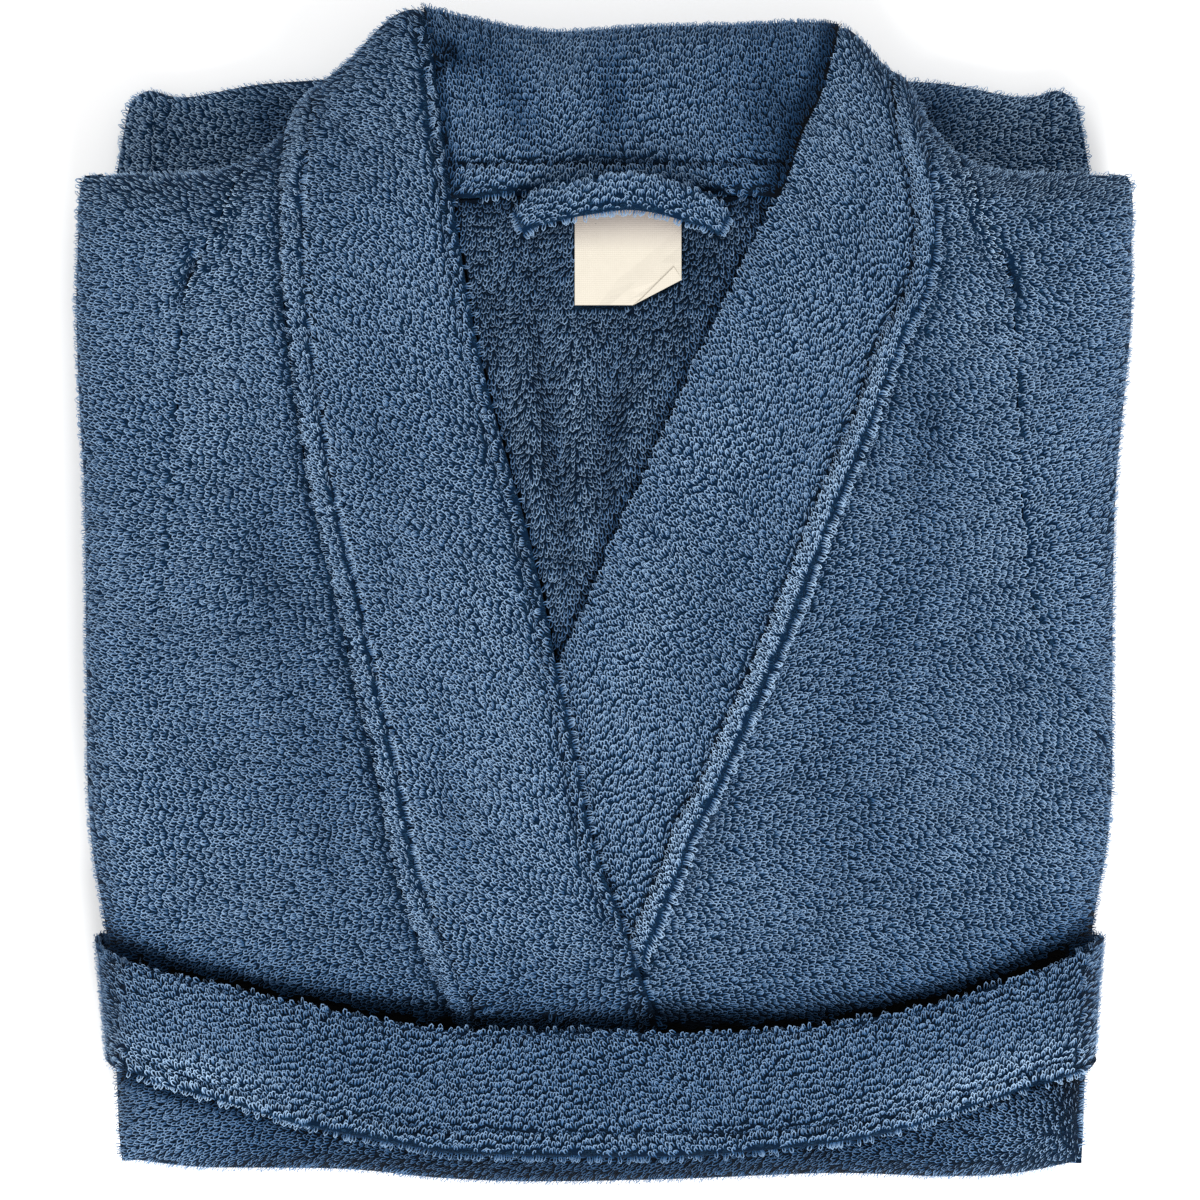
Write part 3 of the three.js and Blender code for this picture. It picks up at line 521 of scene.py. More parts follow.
# ---------------------------------------------------------------------------------------
# The back: one panel of terry. It shows inside the open neck, in level rows and with the
# folds that its own weight gives it, and again where the skirt turns under below the belt.
# ---------------------------------------------------------------------------------------
# The inner edges of the collar band, which frame the open neck, and the lower edge of the belt.
OVER_EDGE = [(28, -190), (20.5, -163), (11.5, -140), (7.6, -126), (2.5, -114), (-2.5, -101),
             (-6.4, -86), (-12.3, -52), (-16.4, -37), (-20.6, -14), (-28.3, 21), (-37.6, 54),
             (-43.5, 75), (-49.4, 99), (-52.8, 118), (-55.8, 137), (-58.2, 153), (-60.9, 177),
             (-62.4, 190), (-64.6, 205), (-69.2, 225)]
UNDER_EDGE = [(-60, -143), (-38, -80), (-16.2, -26), (-7.2, -8), (1, 12), (8.8, 31), (20.5, 54),
              (33.7, 84), (45.4, 108), (57.9, 133), (62.6, 142), (67.7, 154), (72, 164),
              (74.7, 174), (79, 184), (84.4, 194), (87.2, 204), (90.7, 216), (95, 240)]
BELT_LOW = [(-210, -178), (-200, -181), (-188, -185), (-162, -194), (-137, -200.3), (-112, -207.7),
            (-88, -210.4), (-63, -213.9), (-17, -215), (50, -215), (88, -212.7), (110, -209.6),
            (132, -203), (162, -193.2), (186, -186), (210, -178)]
BACK_FOLDS = [
    # path, half width, depth (less than 0 stands up)
    ([(-33, 120), (-30, 84), (-25, 40), (-20, 8)], 4.2, -1.5),
    ([(-24, 112), (-21, 76), (-17, 30)], 4.0, 1.3),
    ([(-9, 104), (-7, 66), (-10, 22), (-14, -8)], 4.4, -1.6),
    ([(4, 108), (3, 70), (-2, 24)], 4.6, 1.4),
    ([(18, 112), (14, 80), (6, 44)], 5.0, -1.1),
    ([(-40, 128), (-38, 100), (-33, 60)], 3.6, 1.0),
]


def back_folds(x, y):
    """The folds of the back panel, and how far the under band presses it down."""
    pressed = 2.6 * bell(from_run(x, y, UNDER_EDGE)[0] + 1, 5)
    return sum(crease(x, y, *fold) for fold in BACK_FOLDS) - pressed


def neck_shadow(x, y):
    """The shadow that both inner edges of the collar band throw into the open neck."""
    by_under = 1 - 0.85 * bell(np.clip(-from_run(x, y, UNDER_EDGE)[0] - 1.5, 0, None), 5)
    by_over = 1 - 0.7 * bell(np.clip(from_run(x, y, OVER_EDGE)[0] - 0.5, 0, None), 2.4)
    return by_under * by_over


def hanger_shadow(x, y):
    """The shadow at the top of the back panel, along the neck seam."""
    return 1 - 0.6 * bell(y + MIDDLE[1] - 152, 5)


def under_belt_shadow(x, y):
    """The shadow on the skirt along the lower edge of the belt."""
    return 1 - 0.8 * bell(np.clip(-from_run(x, y, BELT_LOW)[0], 0, None), 3)


def tucked(x, y):
    """The foot of the pack, let out to the turn of the skirt."""
    return 0, -2.4 * np.clip((-y - 200) / 18, 0, 1)


# Its low light and ground are painted shade where it lies low in the open neck under the bands, and its
# shades paint light and shade on its folds.
Stretch(
    "back_cloth", "back_panel", heading=-92, wander=0.8, light=0.9,
    painted_shading=[(-30, 62, 4.2, 60, 9, 0.32), (-9, 46, 4.4, 60, 3, 0.32), (-20, 60, 4.0, 60, 6, -0.28),
            (2, 60, 4, 50, -4, -0.3), (12, 128, 40, 14, 0, -0.4), (14, 70, 3, 30, -14, 0.2),
            (-40, 110, 8, 20, 0, -0.2), (24, 100, 10, 20, 0, -0.15)],
    pressed=[back_folds], dimmed=[neck_shadow, hanger_shadow],
    weave=(1.85, 1.9, 0.0), flops=False, ground=0.5)
# The skirt's low light and ground are painted shade where it turns down below the belt; its steep sides are
# painted lighter again, and its two ends painted light.
Stretch(
    "skirt_cloth", "skirt_fold", heading=170, wander=1.2, light=0.38,
    painted_shading=[(0, -222, 90, 14, 0, -0.3), (-178, -218, 34, 26, 0, 0.8), (182, -220, 34, 26, 0, 1.3)],
    pulled=tucked, dimmed=[under_belt_shadow], flops=False, side_light=1.5, ground=0.7)

# ---------------------------------------------------------------------------------------
# The collar band: one long doubled strip of terry, felled to the fronts and the back neck.
# Along its outer seam it stands up in a ridge between two rows of stitches that sink in
# the pile. It shows in three stretches: over, under and at the back neck.
# ---------------------------------------------------------------------------------------
RIDGE_WIDE = 9.8
NECK_SEAM = [(-75, 152.5), (95, 152.5)]


def ridge_over(x, y):
    """1 on the felled ridge of the band that lies over, 0 beside it."""
    side = from_run(x, y, OVER_SEAM)[0]
    return np.clip((side - 0.3) / 1.0, 0, 1) * np.clip((RIDGE_WIDE - side) / 1.0, 0, 1)


def ridge_under(x, y):
    """1 on the felled ridge of the band that lies under, 0 beside it."""
    side = -from_run(x, y, UNDER_SEAM)[0]
    return np.clip((side - 0.3) / 1.0, 0, 1) * np.clip((RIDGE_WIDE - side) / 1.0, 0, 1)


def ridge_over_light(x, y):
    """Painted highlights along two lines of the over band's ridge, where it would catch the light, and a
    little lighter all over it.
    """
    side = from_run(x, y, OVER_SEAM)[0]
    return 1 + 0.12 * ridge_over(x, y) + 0.36 * bell(side - 2.4, 1.3) + 0.3 * bell(side - 7, 1.3)


def ridge_under_light(x, y):
    """A painted highlight on the ridge of the under band, stronger toward the foot."""
    return 1 + (0.1 + 0.5 * np.clip((115 - y) / 40, 0, 1)) * ridge_under(x, y)


def by_over_band(x, y):
    """How far the band that lies over presses down the one under it."""
    return -2.0 * bell(from_run(x, y, OVER_EDGE)[0], 4)


def over_band_shadow(x, y):
    """The shadow of the band that lies over on the one under it."""
    return 1 - 0.8 * bell(from_run(x, y, OVER_EDGE)[0], 2.6)


def stretched_neck(x, y):
    """The ends of the back neck, drawn out under the bands."""
    return np.sign(x) * 1.5 * np.clip((abs(x) - 30) / 20, 0, 1), 0


# The bands' shades are painted light and shade on their relief; the dark lines of their seams are painted
# shade in the sunk stitches.
Stretch(
    "collar_over_cloth", "collar_over", heading=160, wander=1.4, light=0.96,
    seams=[(OVER_SEAM, 0.2, 0.9, 1.0, 0.45), (OVER_SEAM, 9.6, 0.7, 1.4, 0.72),
           (OVER_EDGE, -4.2, 0.7, 1.0, 0.5)],
    painted_shading=[(-90, 180, 40, 40, 0, 0.12), (-44, -6, 13, 46, 12, 0.12), (-84, 62, 12, 46, 6, -0.15),
            (-57, -86, 6, 30, 8, -0.24), (-70, 130, 10, 40, 4, 0.07), (-104, 168, 10, 26, 0, -0.1),
            (-70, 218, 16, 9, 0, -0.1), (-22, -100, 12, 40, 20, 0.07), (-30, -152, 40, 12, 0, -0.12)],
    pressed=[by_belt], ridge=ridge_over, dimmed=[ridge_over_light, belt_shadow])
Stretch(
    "collar_under_cloth", "collar_under", heading=118, wander=1.4, light=0.9,
    seams=[(UNDER_SEAM, -0.2, 0.9, 0.5, 0.2), (UNDER_SEAM, -9.8, 0.7, 1.7, 0.8)],
    painted_shading=[(72, -10, 6, 50, -27, 0.16), (100, 170, 30, 40, 0, 0.12), (52, 60, 14, 60, -28, 0.15),
            (16, -20, 12, 40, -20, 0.2), (106, 150, 9, 24, 0, -0.14), (98, 196, 12, 20, 0, 0.04),
            (84, 130, 12, 24, -25, -0.04)],
    pressed=[by_belt, by_over_band], ridge=ridge_under,
    dimmed=[ridge_under_light, belt_shadow, over_band_shadow])
# The back neck is painted darker all over, with painted shade in its folds and painted light between them.
Stretch(
    "collar_back_cloth", "collar_back", heading=94, wander=1.4, light=0.73,
    seams=[(NECK_SEAM, 13.3, 0.8, 1.6, 0.7), (NECK_SEAM, 3.4, 0.7, 0.8, 0.35)],
    painted_shading=[(68, 186, 20, 34, 0, -0.45), (-34, 189, 7, 20, 20, -0.42), (3, 190, 7, 26, 0, -0.4),
            (-59, 209, 5, 9, 30, -0.75), (-12, 196, 8, 24, 0, 0.1), (30, 196, 10, 24, 0, 0.06),
            (-48, 208, 9, 12, 0, -0.34), (-30, 158, 30, 6, 0, 0.3)],
    pulled=stretched_neck, dimmed=[neck_shadow], air=3, side_spacing=0.7)

# ---------------------------------------------------------------------------------------
# The cuffs: the hemmed ends of the sleeves, which look out behind the shoulders on either
# side of the collar. One row of stitches holds each hem.
# ---------------------------------------------------------------------------------------
CUFF_LEFT = [(-171, 150), (-170, 205)]
CUFF_RIGHT = [(174.5, 150), (173.5, 205)]


def spread_cuff(x, y):
    """The outer corner of a cuff, drawn out and up."""
    return (np.sign(x) * 4.2 * np.clip((abs(x) - 115) / 60, 0, 1),
            3.4 * np.clip((y - 160) / 18, 0, 1))


# The cuffs are painted light (light above 1), with painted shade toward the neck.
Stretch(
    "cuff_left_cloth", "cuff_left", heading=165, wander=1.2, light=1.25,
    seams=[(CUFF_LEFT, 0, 0.8, 1.2, 0.5)],
    painted_shading=[(-128, 186, 12, 14, 0, -0.5), (-176, 180, 4, 20, 0, 0.12)],
    refined=1, pulled=spread_cuff, flops=False)
Stretch(
    "cuff_right_cloth", "cuff_right", heading=15, wander=1.2, light=1.25,
    seams=[(CUFF_RIGHT, 0, 0.8, 1.2, 0.5)],
    painted_shading=[(128, 186, 12, 14, 0, -0.5), (178, 180, 4, 20, 0, 0.12)],
    refined=1, pulled=spread_cuff, flops=False)

# ---------------------------------------------------------------------------------------
# The belt: a long doubled strip of terry, stitched along both edges. It goes round the lower
# part of the pack and holds it together.
# ---------------------------------------------------------------------------------------
# The belt is painted highlights along the ends of its lower edge and light and shade on its body; its low
# light and ground paint it darker all over.
Stretch(
    "belt_cloth", "belt", heading=97, wander=1.2, light=0.66,
    seams=[(BELT_LOW, 5.4, 0.8, 1.4, 0.7), (BELT_UP, -3.6, 0.8, 0.8, 0.5)],
    painted_shading=[(-158, -190, 56, 10, -17, 1.0), (158, -189, 56, 10, 17, 1.0), (0, -212, 120, 4, 0, 0.2),
            (0, -186, 60, 14, 0, -0.08), (-180, -160, 30, 22, 0, 0.14), (182, -158, 30, 22, 0, 0.1)],
    brought_in=2.0, air=3, side_spacing=0.75, ground=0.8)

# ---------------------------------------------------------------------------------------
# The hanger loop: a narrow tube of terry that the robe hangs by. Both its ends are caught in
# the seam at the back neck.
# ---------------------------------------------------------------------------------------
Stretch(
    "hanger_cloth", "hanger_loop", heading=80, wander=2.4, light=1.0,
    brought_in=0.4, air=3, side_spacing=0.5)

# ---------------------------------------------------------------------------------------
# The folded layers: all the terry that is folded away, the rest of the back, skirt and
# sleeves. Its sides and underside are one shell, and its hidden top is another.
# ---------------------------------------------------------------------------------------
LAYERS_LEVEL = 0.75
LAYERS_TOP_FROM = 30 * MM


def outer_face(middle, normal):
    """Whether a face of the folded layers is on their sides or their underside."""
    return normal.z < LAYERS_LEVEL or middle.z < LAYERS_TOP_FROM


def hidden_face(middle, normal):
    """Whether a face of the folded layers lies under the other pieces."""
    return not outer_face(middle, normal)


upper_layer = tailor("upper_layer_cloth", "folded_layers", 1, hidden_face, pulled=tucked)
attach(upper_layer, "root")
Stretch(
    "layers_cloth", "folded_layers", heading=165, wander=1.2, light=0.95,
    refined=1, keep=outer_face, pulled=tucked, flops=False,
    side_spacing=1.25, side_size=1.2, bare=1.75, closed=False, beside=(upper_layer,))

# ---------------------------------------------------------------------------------------
# The pile: loops of spun cotton yarn in woven rows on every face of the terry that shows,
# dyed steel blue, with painted shade toward the root where the yarn goes down into the pile.
# Each loop leaves the ground, leans over and goes back in. On the steep sides they stand at
# random.
# ---------------------------------------------------------------------------------------
# The root colour is painted shade deep in the pile; the tip colour is the yarn's own blue.
YARN_ROOT_SHADED = (0.002, 0.05, 0.15)
YARN_TIP = (0.222, 0.336, 0.492)
# Sizes of a loop and of the rows, in millimetres, before each loop gets its own size.
LOOP_LONG = 3.0
LOOP_HIGH = 1.15
LOOP_WIDE = 1.65
HALF_YARN = 0.2
ROW_STEP = 1.22
LOOP_STEP = 2.6
SIDE_SPACING = 2.0
LOOP_STRAY = 0.42
LOOP_POINTS = 7
# The rows are this much closer on the ridges of the collar band.
RIDGE_CLOSER = 0.8
# Loops on the open sides start this far above the table, and on steep upper faces they need
# other cloth within this reach (mm).
SIDE_FROM = 4.6
STEEP_REACH = 16
# A ray leaves a shell this far off it, and meets no other cloth within this reach if the
# side is open (mm).
SKIN = 0.4
OPEN_REACH = 8
# How strongly the painted shade and painted light of a piece tell.
PAINTED_SHADING_STRENGTH = 1.25


def yarn_finish():
    """The yarn of the loops, painted darker toward the root as the shade in the pile. A mark on each loop
    gives its own shade at random, and one its piece's tone, with its painted shade and light.
    """
    finish, loom = new_finish("terry_yarn")
    place = loom.node("ShaderNodeTexCoord", {}, {}, "Object")
    tip = loom.node("ShaderNodeAttribute", {"attribute_name": "tip"}, {}, "Fac")
    shade = loom.node("ShaderNodeAttribute", {"attribute_name": "shade"}, {}, "Fac")
    tone = loom.node("ShaderNodeAttribute", {"attribute_name": "tone"}, {}, "Fac")
    patches = loom.node("ShaderNodeTexNoise", {}, {"Vector": place, "Scale": 22.0, "Detail": 3.0})
    # The share of the tip colour: painted shade toward the root, times a random shade, mottling and the
    # painted tone.
    painted_light_and_mottle = (tip * 1.3).reckon("MINIMUM", 1.0) ** 1.4
    painted_light_and_mottle = painted_light_and_mottle * (0.76 + 0.3 * shade) * (0.78 + 0.46 * patches) * tone
    colour = mixed(loom, painted_light_and_mottle, (*YARN_ROOT_SHADED, 1), (*YARN_TIP, 1), clamp_factor=False)
    # Where the painted tone is low the yarn is darkened further, deepening the painted shadows.
    colour = dulled(loom, colour, (tone * 2.0).reckon("MINIMUM", 1.0) * 0.75 + 0.25)
    fibre = loom.node("ShaderNodeTexNoise", {}, {"Vector": place, "Scale": 5200.0, "Detail": 2.0})
    bump = loom.node("ShaderNodeBump", {}, {"Strength": 0.35, "Distance": 0.0003, "Height": fibre})
    give(loom, colour, 0.9, bump, 0.2)
    return finish


terry_yarn = yarn_finish()


class Sizes:
    """The named inputs of a tree, with the identifiers that a modifier sets them by."""

    def __init__(self, loom, **inputs):
        self.keys = {}
        for name, (kind, value) in inputs.items():
            socket = loom.tree.interface.new_socket(name, in_out="INPUT", socket_type="NodeSocket" + kind)
            if value is not None:
                socket.default_value = value
            self.keys[name] = socket.identifier
        loom.tree.interface.new_socket("result", in_out="OUTPUT", socket_type="NodeSocketGeometry")
        entry = loom.tree.nodes.new("NodeGroupInput")
        self.given = {socket.name: Thread(loom, socket) for socket in entry.outputs if socket.name}

    def end(self, loom, result):
        last = loom.tree.nodes.new("NodeGroupOutput")
        loom.tree.links.new(result.socket, last.inputs[0])


def side_tree():
    """Roots strewn over the steep faces that are marked bare of rows."""
    loom = Loom(bpy.data.node_groups.new("side_roots", "GeometryNodeTree"))
    sizes = Sizes(loom, cloth=("Geometry", None), spacing=("Float", SIDE_SPACING * MM), seed=("Int", 1))
    marked = loom.node("GeometryNodeInputNamedAttribute", {"data_type": "FLOAT"}, {"Name": "steep"})
    scatter = loom.node("GeometryNodeDistributePointsOnFaces", {"distribute_method": "POISSON"}, {
        "Mesh": sizes.given["cloth"], "Distance Min": sizes.given["spacing"], "Density Max": 900000.0,
        "Density Factor": marked, "Seed": sizes.given["seed"]})
    out = Thread(loom, scatter.socket.node.outputs["Normal"])
    scatter = loom.node("GeometryNodeStoreNamedAttribute", {"data_type": "FLOAT_VECTOR", "domain": "POINT"},
                        {"Geometry": scatter, "Name": "out", "Value": out})
    sizes.end(loom, loom.node("GeometryNodePointsToVertices", {}, {"Points": scatter}))
    return loom.tree, sizes.keys


def pile_tree():
    """A loop of yarn on every root, turned the way the nap lies there."""
    loom = Loom(bpy.data.node_groups.new("terry_pile", "GeometryNodeTree"))
    sizes = Sizes(loom, roots=("Geometry", None), long=("Float", LOOP_LONG * MM),
                  high=("Float", LOOP_HIGH * MM), wide=("Float", LOOP_WIDE * MM),
                  half_yarn=("Float", HALF_YARN * MM), seed=("Int", 1))
    wide, long, high = sizes.given["wide"], sizes.given["long"], sizes.given["high"]

    def vector(x, y, z):
        return loom.node("ShaderNodeCombineXYZ", {}, {0: x, 1: y, 2: z})

    def marked(name, kind="FLOAT"):
        return loom.node("GeometryNodeInputNamedAttribute", {"data_type": kind}, {"Name": name})

    def chance(kind, low, high, offset):
        at = {"FLOAT_VECTOR": (0, 1, 0), "FLOAT": (2, 3, 1)}[kind]
        return loom.node("FunctionNodeRandomValue", {"data_type": kind},
                         {at[0]: low, at[1]: high, "Seed": sizes.given["seed"] + offset}, at[2])

    loop = loom.node("GeometryNodeCurvePrimitiveBezierSegment", {}, {
        "Resolution": 12,
        "Start": vector(wide * -0.25, long * -0.1, high * -0.25),
        "Start Handle": vector(wide * -0.95, long * 1.05, high * 1.6),
        "End Handle": vector(wide * 0.95, long * 1.25, high * 1.3),
        "End": vector(wide * 0.2, long * 0.05, high * -0.25),
    })
    loop = loom.node("GeometryNodeResampleCurve", {}, {"Curve": loop, "Count": LOOP_POINTS})
    along = loom.node("GeometryNodeSplineParameter", {}, {}, "Factor")
    tip = 1 - (along * 2 - 1).reckon("ABSOLUTE")
    loop = loom.node("GeometryNodeStoreNamedAttribute", {"data_type": "FLOAT", "domain": "POINT"},
                     {"Geometry": loop, "Name": "tip", "Value": tip})
    loop = loom.node("GeometryNodeSetCurveNormal", {"mode": "Z_UP"}, {"Curve": loop})
    yarn = loom.node("GeometryNodeCurveArc", {}, {"Resolution": 2, "Radius": sizes.given["half_yarn"],
                     "Start Angle": 0.0, "Sweep Angle": math.pi})
    loop = loom.node("GeometryNodeCurveToMesh", {}, {"Curve": loop, "Profile Curve": yarn})
    stand = loom.node("FunctionNodeAlignRotationToVector", {"axis": "Z"},
                      {"Vector": marked("out", "FLOAT_VECTOR")})
    stand = loom.node("FunctionNodeAlignRotationToVector", {"axis": "Y", "pivot_axis": "Z"},
                      {"Rotation": stand, "Vector": marked("nap", "FLOAT_VECTOR")})
    turn = chance("FLOAT_VECTOR", (-0.1, -0.3, -0.34), (0.3, 0.3, 0.34), 11)
    turn = loom.node("FunctionNodeEulerToRotation", {}, {0: turn})
    stand = loom.node("FunctionNodeRotateRotation", {"rotation_space": "LOCAL"}, {"Rotation": stand,
                      "Rotate By": turn})
    size = loom.node("ShaderNodeVectorMath", {"operation": "SCALE"}, {
        0: chance("FLOAT_VECTOR", (0.82, 0.82, 0.8), (1.2, 1.2, 1.2), 23), "Scale": marked("size")})
    loops = loom.node("GeometryNodeInstanceOnPoints", {}, {
        "Points": sizes.given["roots"], "Instance": loop, "Rotation": stand, "Scale": size})
    loops = loom.node("GeometryNodeStoreNamedAttribute", {"data_type": "FLOAT", "domain": "INSTANCE"},
                      {"Geometry": loops, "Name": "shade", "Value": chance("FLOAT", 0.0, 1.0, 37)})
    loops = loom.node("GeometryNodeRealizeInstances", {}, {"Geometry": loops})
    loops = loom.node("GeometryNodeSetShadeSmooth", {}, {"Geometry": loops, "Shade Smooth": True})
    sizes.end(loom, loom.node("GeometryNodeSetMaterial", {}, {"Geometry": loops, "Material": terry_yarn}))
    return loom.tree, sizes.keys


def run_tree(name, mesh, tree, values):
    """What a tree makes of a mesh, as a plain mesh in a new object."""
    carrier = bpy.data.objects.new(name, mesh)
    bpy.context.scene.collection.objects.link(carrier)
    growth = carrier.modifiers.new("growth", "NODES")
    growth.node_group = tree
    for key, value in values.items():
        growth[key] = value
    grown = bpy.data.meshes.new_from_object(carrier.evaluated_get(bpy.context.evaluated_depsgraph_get()))
    carrier.modifiers.clear()
    carrier.data = grown
    grown.name = name
    return carrier


side_nodes, side_keys = side_tree()
pile_nodes, pile_keys = pile_tree()


def pack_tree():
    """All shells and the label as one body, and the piece that each of its faces belongs to."""
    corners, faces, owners = [], [], []
    meshes = [(stretch.node, stretch.cloth.data) for stretch in stretches]
    for node, mesh in meshes + [("upper_layer", upper_layer.data), ("label", nodes["label"].data)]:
        first = len(corners)
        corners += [v.co for v in mesh.vertices]
        faces += [[first + k for k in p.vertices] for p in mesh.polygons]
        owners += [node] * len(mesh.polygons)
    return BVHTree.FromPolygons(corners, faces), owners


def bring_in(cloth, pack, by):
    """Brings the open sides of a shell in, so that its pile ends at the outline."""
    points, normals = points_of(cloth.data), normals_of(cloth.data)
    for k in np.nonzero((abs(normals[:, 2]) < 0.75) & (points[:, 2] > 0.5 * MM))[0]:
        out = Vector(normals[k])
        if pack.ray_cast(Vector(points[k]) + out * SKIN * MM, out, OPEN_REACH * MM)[0] is None:
            points[k] -= normals[k] * by * MM
    cloth.data.vertices.foreach_set("co", points.ravel())
    cloth.data.update()


first_pack, _ = pack_tree()
for stretch in stretches:
    bring_in(stretch.cloth, first_pack, stretch.brought_in)
whole_pack, owners = pack_tree()


def woven_roots(stretch, chance, closer=1.0):
    """Roots in rows over the part of a piece that shows from above."""
    ux, uy = math.cos(stretch.heading), math.sin(stretch.heading)
    low, high = (np.array(corner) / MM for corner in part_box(stretch.node))
    middle = (low + high) / 2
    reach = math.hypot(high[0] - low[0], high[1] - low[1]) / 2 + 4
    step, apart, shifted = stretch.weave or (LOOP_STEP, ROW_STEP, 1.0)
    along, row = np.meshgrid(np.arange(-reach, reach, step * closer),
                             np.arange(-reach, reach, apart * closer))
    along = along + chance.uniform(0, 1, along.shape[0])[:, None] * step * shifted
    along, row = along.ravel(), row.ravel()
    stray = chance.uniform(-LOOP_STRAY, LOOP_STRAY, len(along))
    along = along + stray + stretch.wander * np.sin(row / 17 + 2 * np.sin(along / 41))
    stray = chance.uniform(-LOOP_STRAY, LOOP_STRAY, len(row))
    row = row + stray + stretch.wander * np.sin(along / 23 + 2 * np.sin(row / 37) + 1)
    x = middle[0] + along * ux - row * uy
    y = middle[1] + along * uy + row * ux
    inside = (x > low[0]) & (x < high[0]) & (y > low[1]) & (y < high[1])
    points, outs = [], []
    for px, py in zip(x[inside] * MM, y[inside] * MM):
        place, normal, face, _ = whole_pack.ray_cast(Vector((px, py, 0.2)), Vector((0, 0, -1)))
        if place is None or owners[face] != stretch.node or normal.z < 0.15:
            continue
        if normal.z < 0.4:
            if whole_pack.ray_cast(place + normal * SKIN * MM, normal, STEEP_REACH * MM)[0] is None:
                continue
            normal = (normal + Vector((0, 0, 0.8))).normalized()
        points.append(place)
        outs.append(normal)
    return np.array(points).reshape(-1, 3), np.array(outs).reshape(-1, 3)


def side_roots(stretch, seed):
    """Roots on the steep faces of a piece that nothing covers."""
    mesh = stretch.cloth.data.copy()
    points, normals = points_of(mesh), normals_of(mesh)
    steep = (normals[:, 2] < 0.42) & (normals[:, 2] > -0.75) & (points[:, 2] > SIDE_FROM * MM)
    mesh.attributes.new("steep", "FLOAT", "POINT").data.foreach_set("value", steep.astype(np.float32))
    spacing = SIDE_SPACING * stretch.side_spacing * MM
    strewn = run_tree("roots", mesh, side_nodes, {side_keys["spacing"]: spacing, side_keys["seed"]: seed})
    points = points_of(strewn.data)
    outs = np.zeros(len(points) * 3)
    strewn.data.attributes["out"].data.foreach_get("vector", outs)
    outs = outs.reshape(-1, 3)
    bpy.data.objects.remove(strewn)
    open_air = np.array(
        [whole_pack.ray_cast(Vector(p + n * SKIN * MM), Vector(n), stretch.air * MM)[0] is None
         for p, n in zip(points, outs)], bool)
    return points[open_air], outs[open_air]


def tone_of(stretch, x, y, upper, wider=0.0):
    """How light a piece is painted at plan points in millimetres: its light, its painted shading, the
    painted shade along its seams and its painted shadows.
    """
    tone = np.full(len(x), stretch.light)
    for mx, my, half_wide, half_long, turned, by in stretch.painted_shading:
        a = math.radians(turned)
        right, up = x + MIDDLE[0] - mx, y + MIDDLE[1] - my
        across = (right * math.cos(a) + up * math.sin(a)) / half_wide
        beside = (-right * math.sin(a) + up * math.cos(a)) / half_long
        tone *= 1 + PAINTED_SHADING_STRENGTH * by * np.exp(-(across**2 + beside**2))
    for run, beside, wide, _, dark in stretch.seams:
        tone *= 1 - dark * upper * bell(from_run(x, y, run)[0] - beside, wide + wider)
    for dim in stretch.dimmed:
        tone *= dim(x, y)
    return tone


def comb(stretch, points, outs):
    """Which way the loops lie, how long and how light they are, and where none grow."""
    x, y = points[:, 0] / MM, points[:, 1] / MM
    sway = np.sin(x / 31 + 1.1 * np.sin(y / 43)) + 0.8 * np.sin(y / 27 + 0.9 * np.sin(x / 37) + 1.3)
    turn = stretch.heading + 0.2 * stretch.wander * sway
    upper = outs[:, 2] > 0.5
    tone = tone_of(stretch, x, y, upper) * np.where(upper, 1.0, stretch.side_light)
    size = np.where(upper, 1.0, stretch.side_size)
    grows = np.ones(len(x), bool)
    for run, beside, wide, _, dark in stretch.seams:
        away = from_run(x, y, run)[0] - beside
        size *= 1 - 0.25 * bell(away, wide) * upper
        grows &= ~((abs(away) < 0.12) & upper & (dark > 0.5))
    if stretch.ridge is not None:
        size *= 1 - 0.12 * stretch.ridge(x, y)
    nap = np.stack([np.cos(turn), np.sin(turn), np.where(upper, 0.0, -0.7)], 1)
    against = outs[:, 0] * math.cos(stretch.heading) + outs[:, 1] * math.sin(stretch.heading) < -0.2
    flops = against & (outs[:, 2] < 0.78) & (points[:, 2] > 30 * MM) & (abs(x) < 185) & stretch.flops
    nap[flops] = outs[flops] * (1, 1, 0) + (0, 0, -0.2)
    outs = np.where(flops[:, None], outs + (0, 0, 0.9), outs)
    outs = outs / np.linalg.norm(outs, axis=1)[:, None]
    size = np.where(flops, 0.95, size)
    nap -= outs * np.sum(nap * outs, 1)[:, None]
    mesh = bpy.data.meshes.new(stretch.node + "_roots")
    mesh.from_pydata(points[grows].tolist(), [], [])
    for name, kind, key, values in (("size", "FLOAT", "value", size), ("tone", "FLOAT", "value", tone),
                                    ("nap", "FLOAT_VECTOR", "vector", nap),
                                    ("out", "FLOAT_VECTOR", "vector", outs)):
        values = values[grows].astype(np.float32).ravel()
        mesh.attributes.new(name, kind, "POINT").data.foreach_set(key, values)
    return mesh


def shade_ground(stretch):
    """Marks on a shell how light its ground is: painted shade under the pile and in the seams, and the
    painted shade and light of its tone.
    """
    mesh = stretch.cloth.data
    ground = points_of(mesh)
    level = normals_of(mesh)[:, 2]
    tone = tone_of(stretch, ground[:, 0] / MM, ground[:, 1] / MM, level > 0.5, 1.3)
    steep = np.clip((0.35 - level) / 0.3, 0, 1) * np.clip(tone * 1.5, 0, 1)
    tone = steep * 0.5 + np.minimum(tone, 1.0) * stretch.ground
    if stretch.bare is not None:
        tone = np.full(len(ground), stretch.bare)
    mesh.attributes.new("tone", "FLOAT", "POINT").data.foreach_set("value", tone.astype(np.float32))


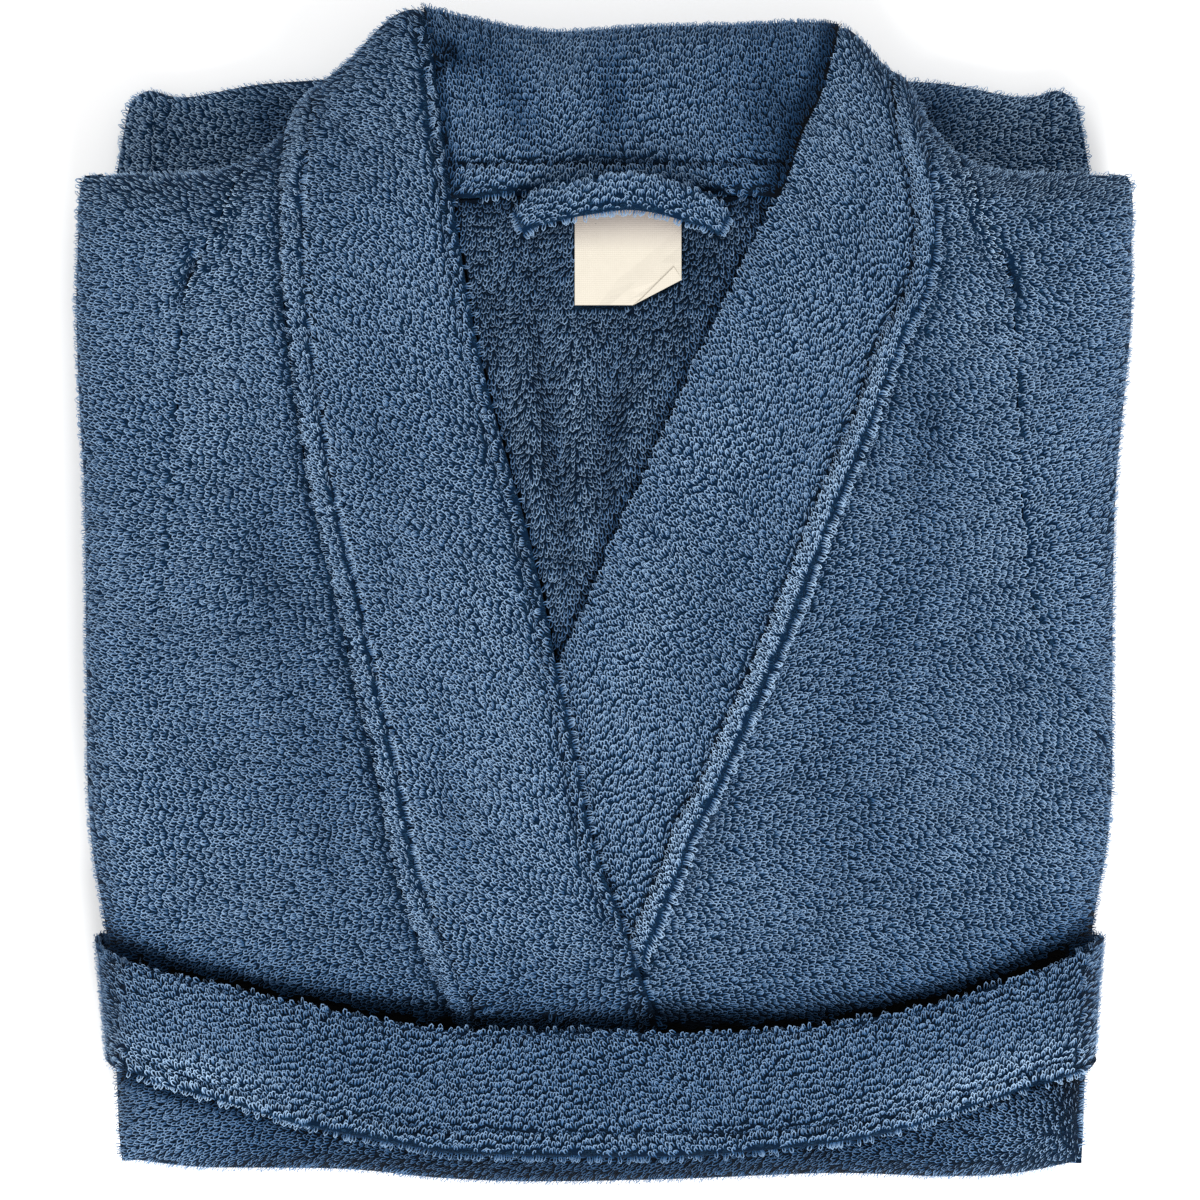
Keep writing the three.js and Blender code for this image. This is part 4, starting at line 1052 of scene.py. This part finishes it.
for seed, stretch in enumerate(stretches, 1):
    cloth = stretch.cloth
    rows, row_outs = woven_roots(stretch, np.random.default_rng(seed))
    if stretch.ridge is not None:
        close, close_outs = woven_roots(stretch, np.random.default_rng(seed + 50), RIDGE_CLOSER)
        beside_ridge = stretch.ridge(rows[:, 0] / MM, rows[:, 1] / MM) < 0.5
        on_ridge = stretch.ridge(close[:, 0] / MM, close[:, 1] / MM) >= 0.5
        rows = np.concatenate([rows[beside_ridge], close[on_ridge]])
        row_outs = np.concatenate([row_outs[beside_ridge], close_outs[on_ridge]])
    strewn, strewn_outs = side_roots(stretch, seed)
    roots = comb(stretch, np.concatenate([rows, strewn]), np.concatenate([row_outs, strewn_outs]))
    shade_ground(stretch)
    pile = run_tree(cloth.name.replace("_cloth", "_pile"), roots, pile_nodes, {pile_keys["seed"]: seed})
    for spare in ("size", "nap", "out"):
        pile.data.attributes.remove(pile.data.attributes[spare])
    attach(pile, "root")
    low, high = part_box(stretch.node)

# ---------------------------------------------------------------------------------------
# The label: a bare strip of cream cotton tape sewn in at the back neck under the hanger
# loop, with its lower corner turned up.
# ---------------------------------------------------------------------------------------
LABEL_CREAM = (0.7, 0.645, 0.55)
LABEL_THREAD = (0.6, 0.55, 0.46)
# The tape's top is painted darker: a painted shadow of the hanger loop over it.
LABEL_SHADED = (0.42, 0.37, 0.34)
SHADED_ABOVE = 0.131
CORNER_THICK = 0.5 * MM
TURNED_CORNER = [(11.5, 111.7), (30.4, 121.5), (27.3, 126.4), (14.6, 113.9)]

label_finish, loom = new_finish("label_cotton")
place = loom.node("ShaderNodeTexCoord", {}, {}, "Object")
threads = {"Vector": place, "Scale": 420.0, "Distortion": 0.6}
warp = loom.node("ShaderNodeTexWave", {"bands_direction": "X"}, threads, "Fac")
weft = loom.node("ShaderNodeTexWave", {"bands_direction": "Y"}, threads, "Fac")
slubs = loom.node("ShaderNodeTexNoise", {}, {"Vector": place, "Scale": 260.0, "Detail": 3.0})
weave = warp * 0.5 + weft * 0.5
cream = mixed(loom, weave * 0.5 + slubs * 0.5, (*LABEL_THREAD, 1), (*LABEL_CREAM, 1))
bump = loom.node("ShaderNodeBump", {}, {"Strength": 0.3, "Distance": 0.0002, "Height": weave})
height = loom.node("ShaderNodeSeparateXYZ", {}, {"Vector": place}, 1)
# Painted shadow of the hanger loop on the top of the tape.
painted_loop_shadow = ((height - SHADED_ABOVE) * 70.0).reckon("MINIMUM", 1.0).reckon("MAXIMUM", 0.0)
cream = mixed(loom, painted_loop_shadow, cream, (*LABEL_SHADED, 1))
give(loom, cream, 0.85, bump)

form = bmesh.new()
form.from_mesh(nodes["label"].data)
bmesh.ops.remove_doubles(form, verts=form.verts, dist=WELD)
tape = BVHTree.FromBMesh(form)
corners = []
for k, (x, y) in enumerate(TURNED_CORNER):
    x, y = x - MIDDLE[0], y - MIDDLE[1]
    inward = Vector((14 - x, 125 - y, 0)).normalized() * (0.5 if k < 2 else 0)
    top = tape.ray_cast(Vector(((x + inward.x) * MM, (y + inward.y) * MM, 0.2)), Vector((0, 0, -1)))[0]
    corners.append(Vector((x * MM, y * MM, top.z + (0.1 if k < 2 else 0.5) * MM)))
low = [form.verts.new(corner - Vector((0, 0, CORNER_THICK))) for corner in corners]
high = [form.verts.new(corner) for corner in corners]
flap = [form.faces.new(high), form.faces.new(low[::-1])]
for k in range(4):
    m = (k + 1) % 4
    flap.append(form.faces.new((low[k], low[m], high[m], high[k])))
bmesh.ops.recalc_face_normals(form, faces=flap)
for face in form.faces:
    face.smooth = False
mesh = bpy.data.meshes.new("label_tape")
form.to_mesh(mesh)
form.free()
mesh.materials.append(label_finish)
label = bpy.data.objects.new("label_tape", mesh)
bpy.context.scene.collection.objects.link(label)
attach(label, "root")
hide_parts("label")
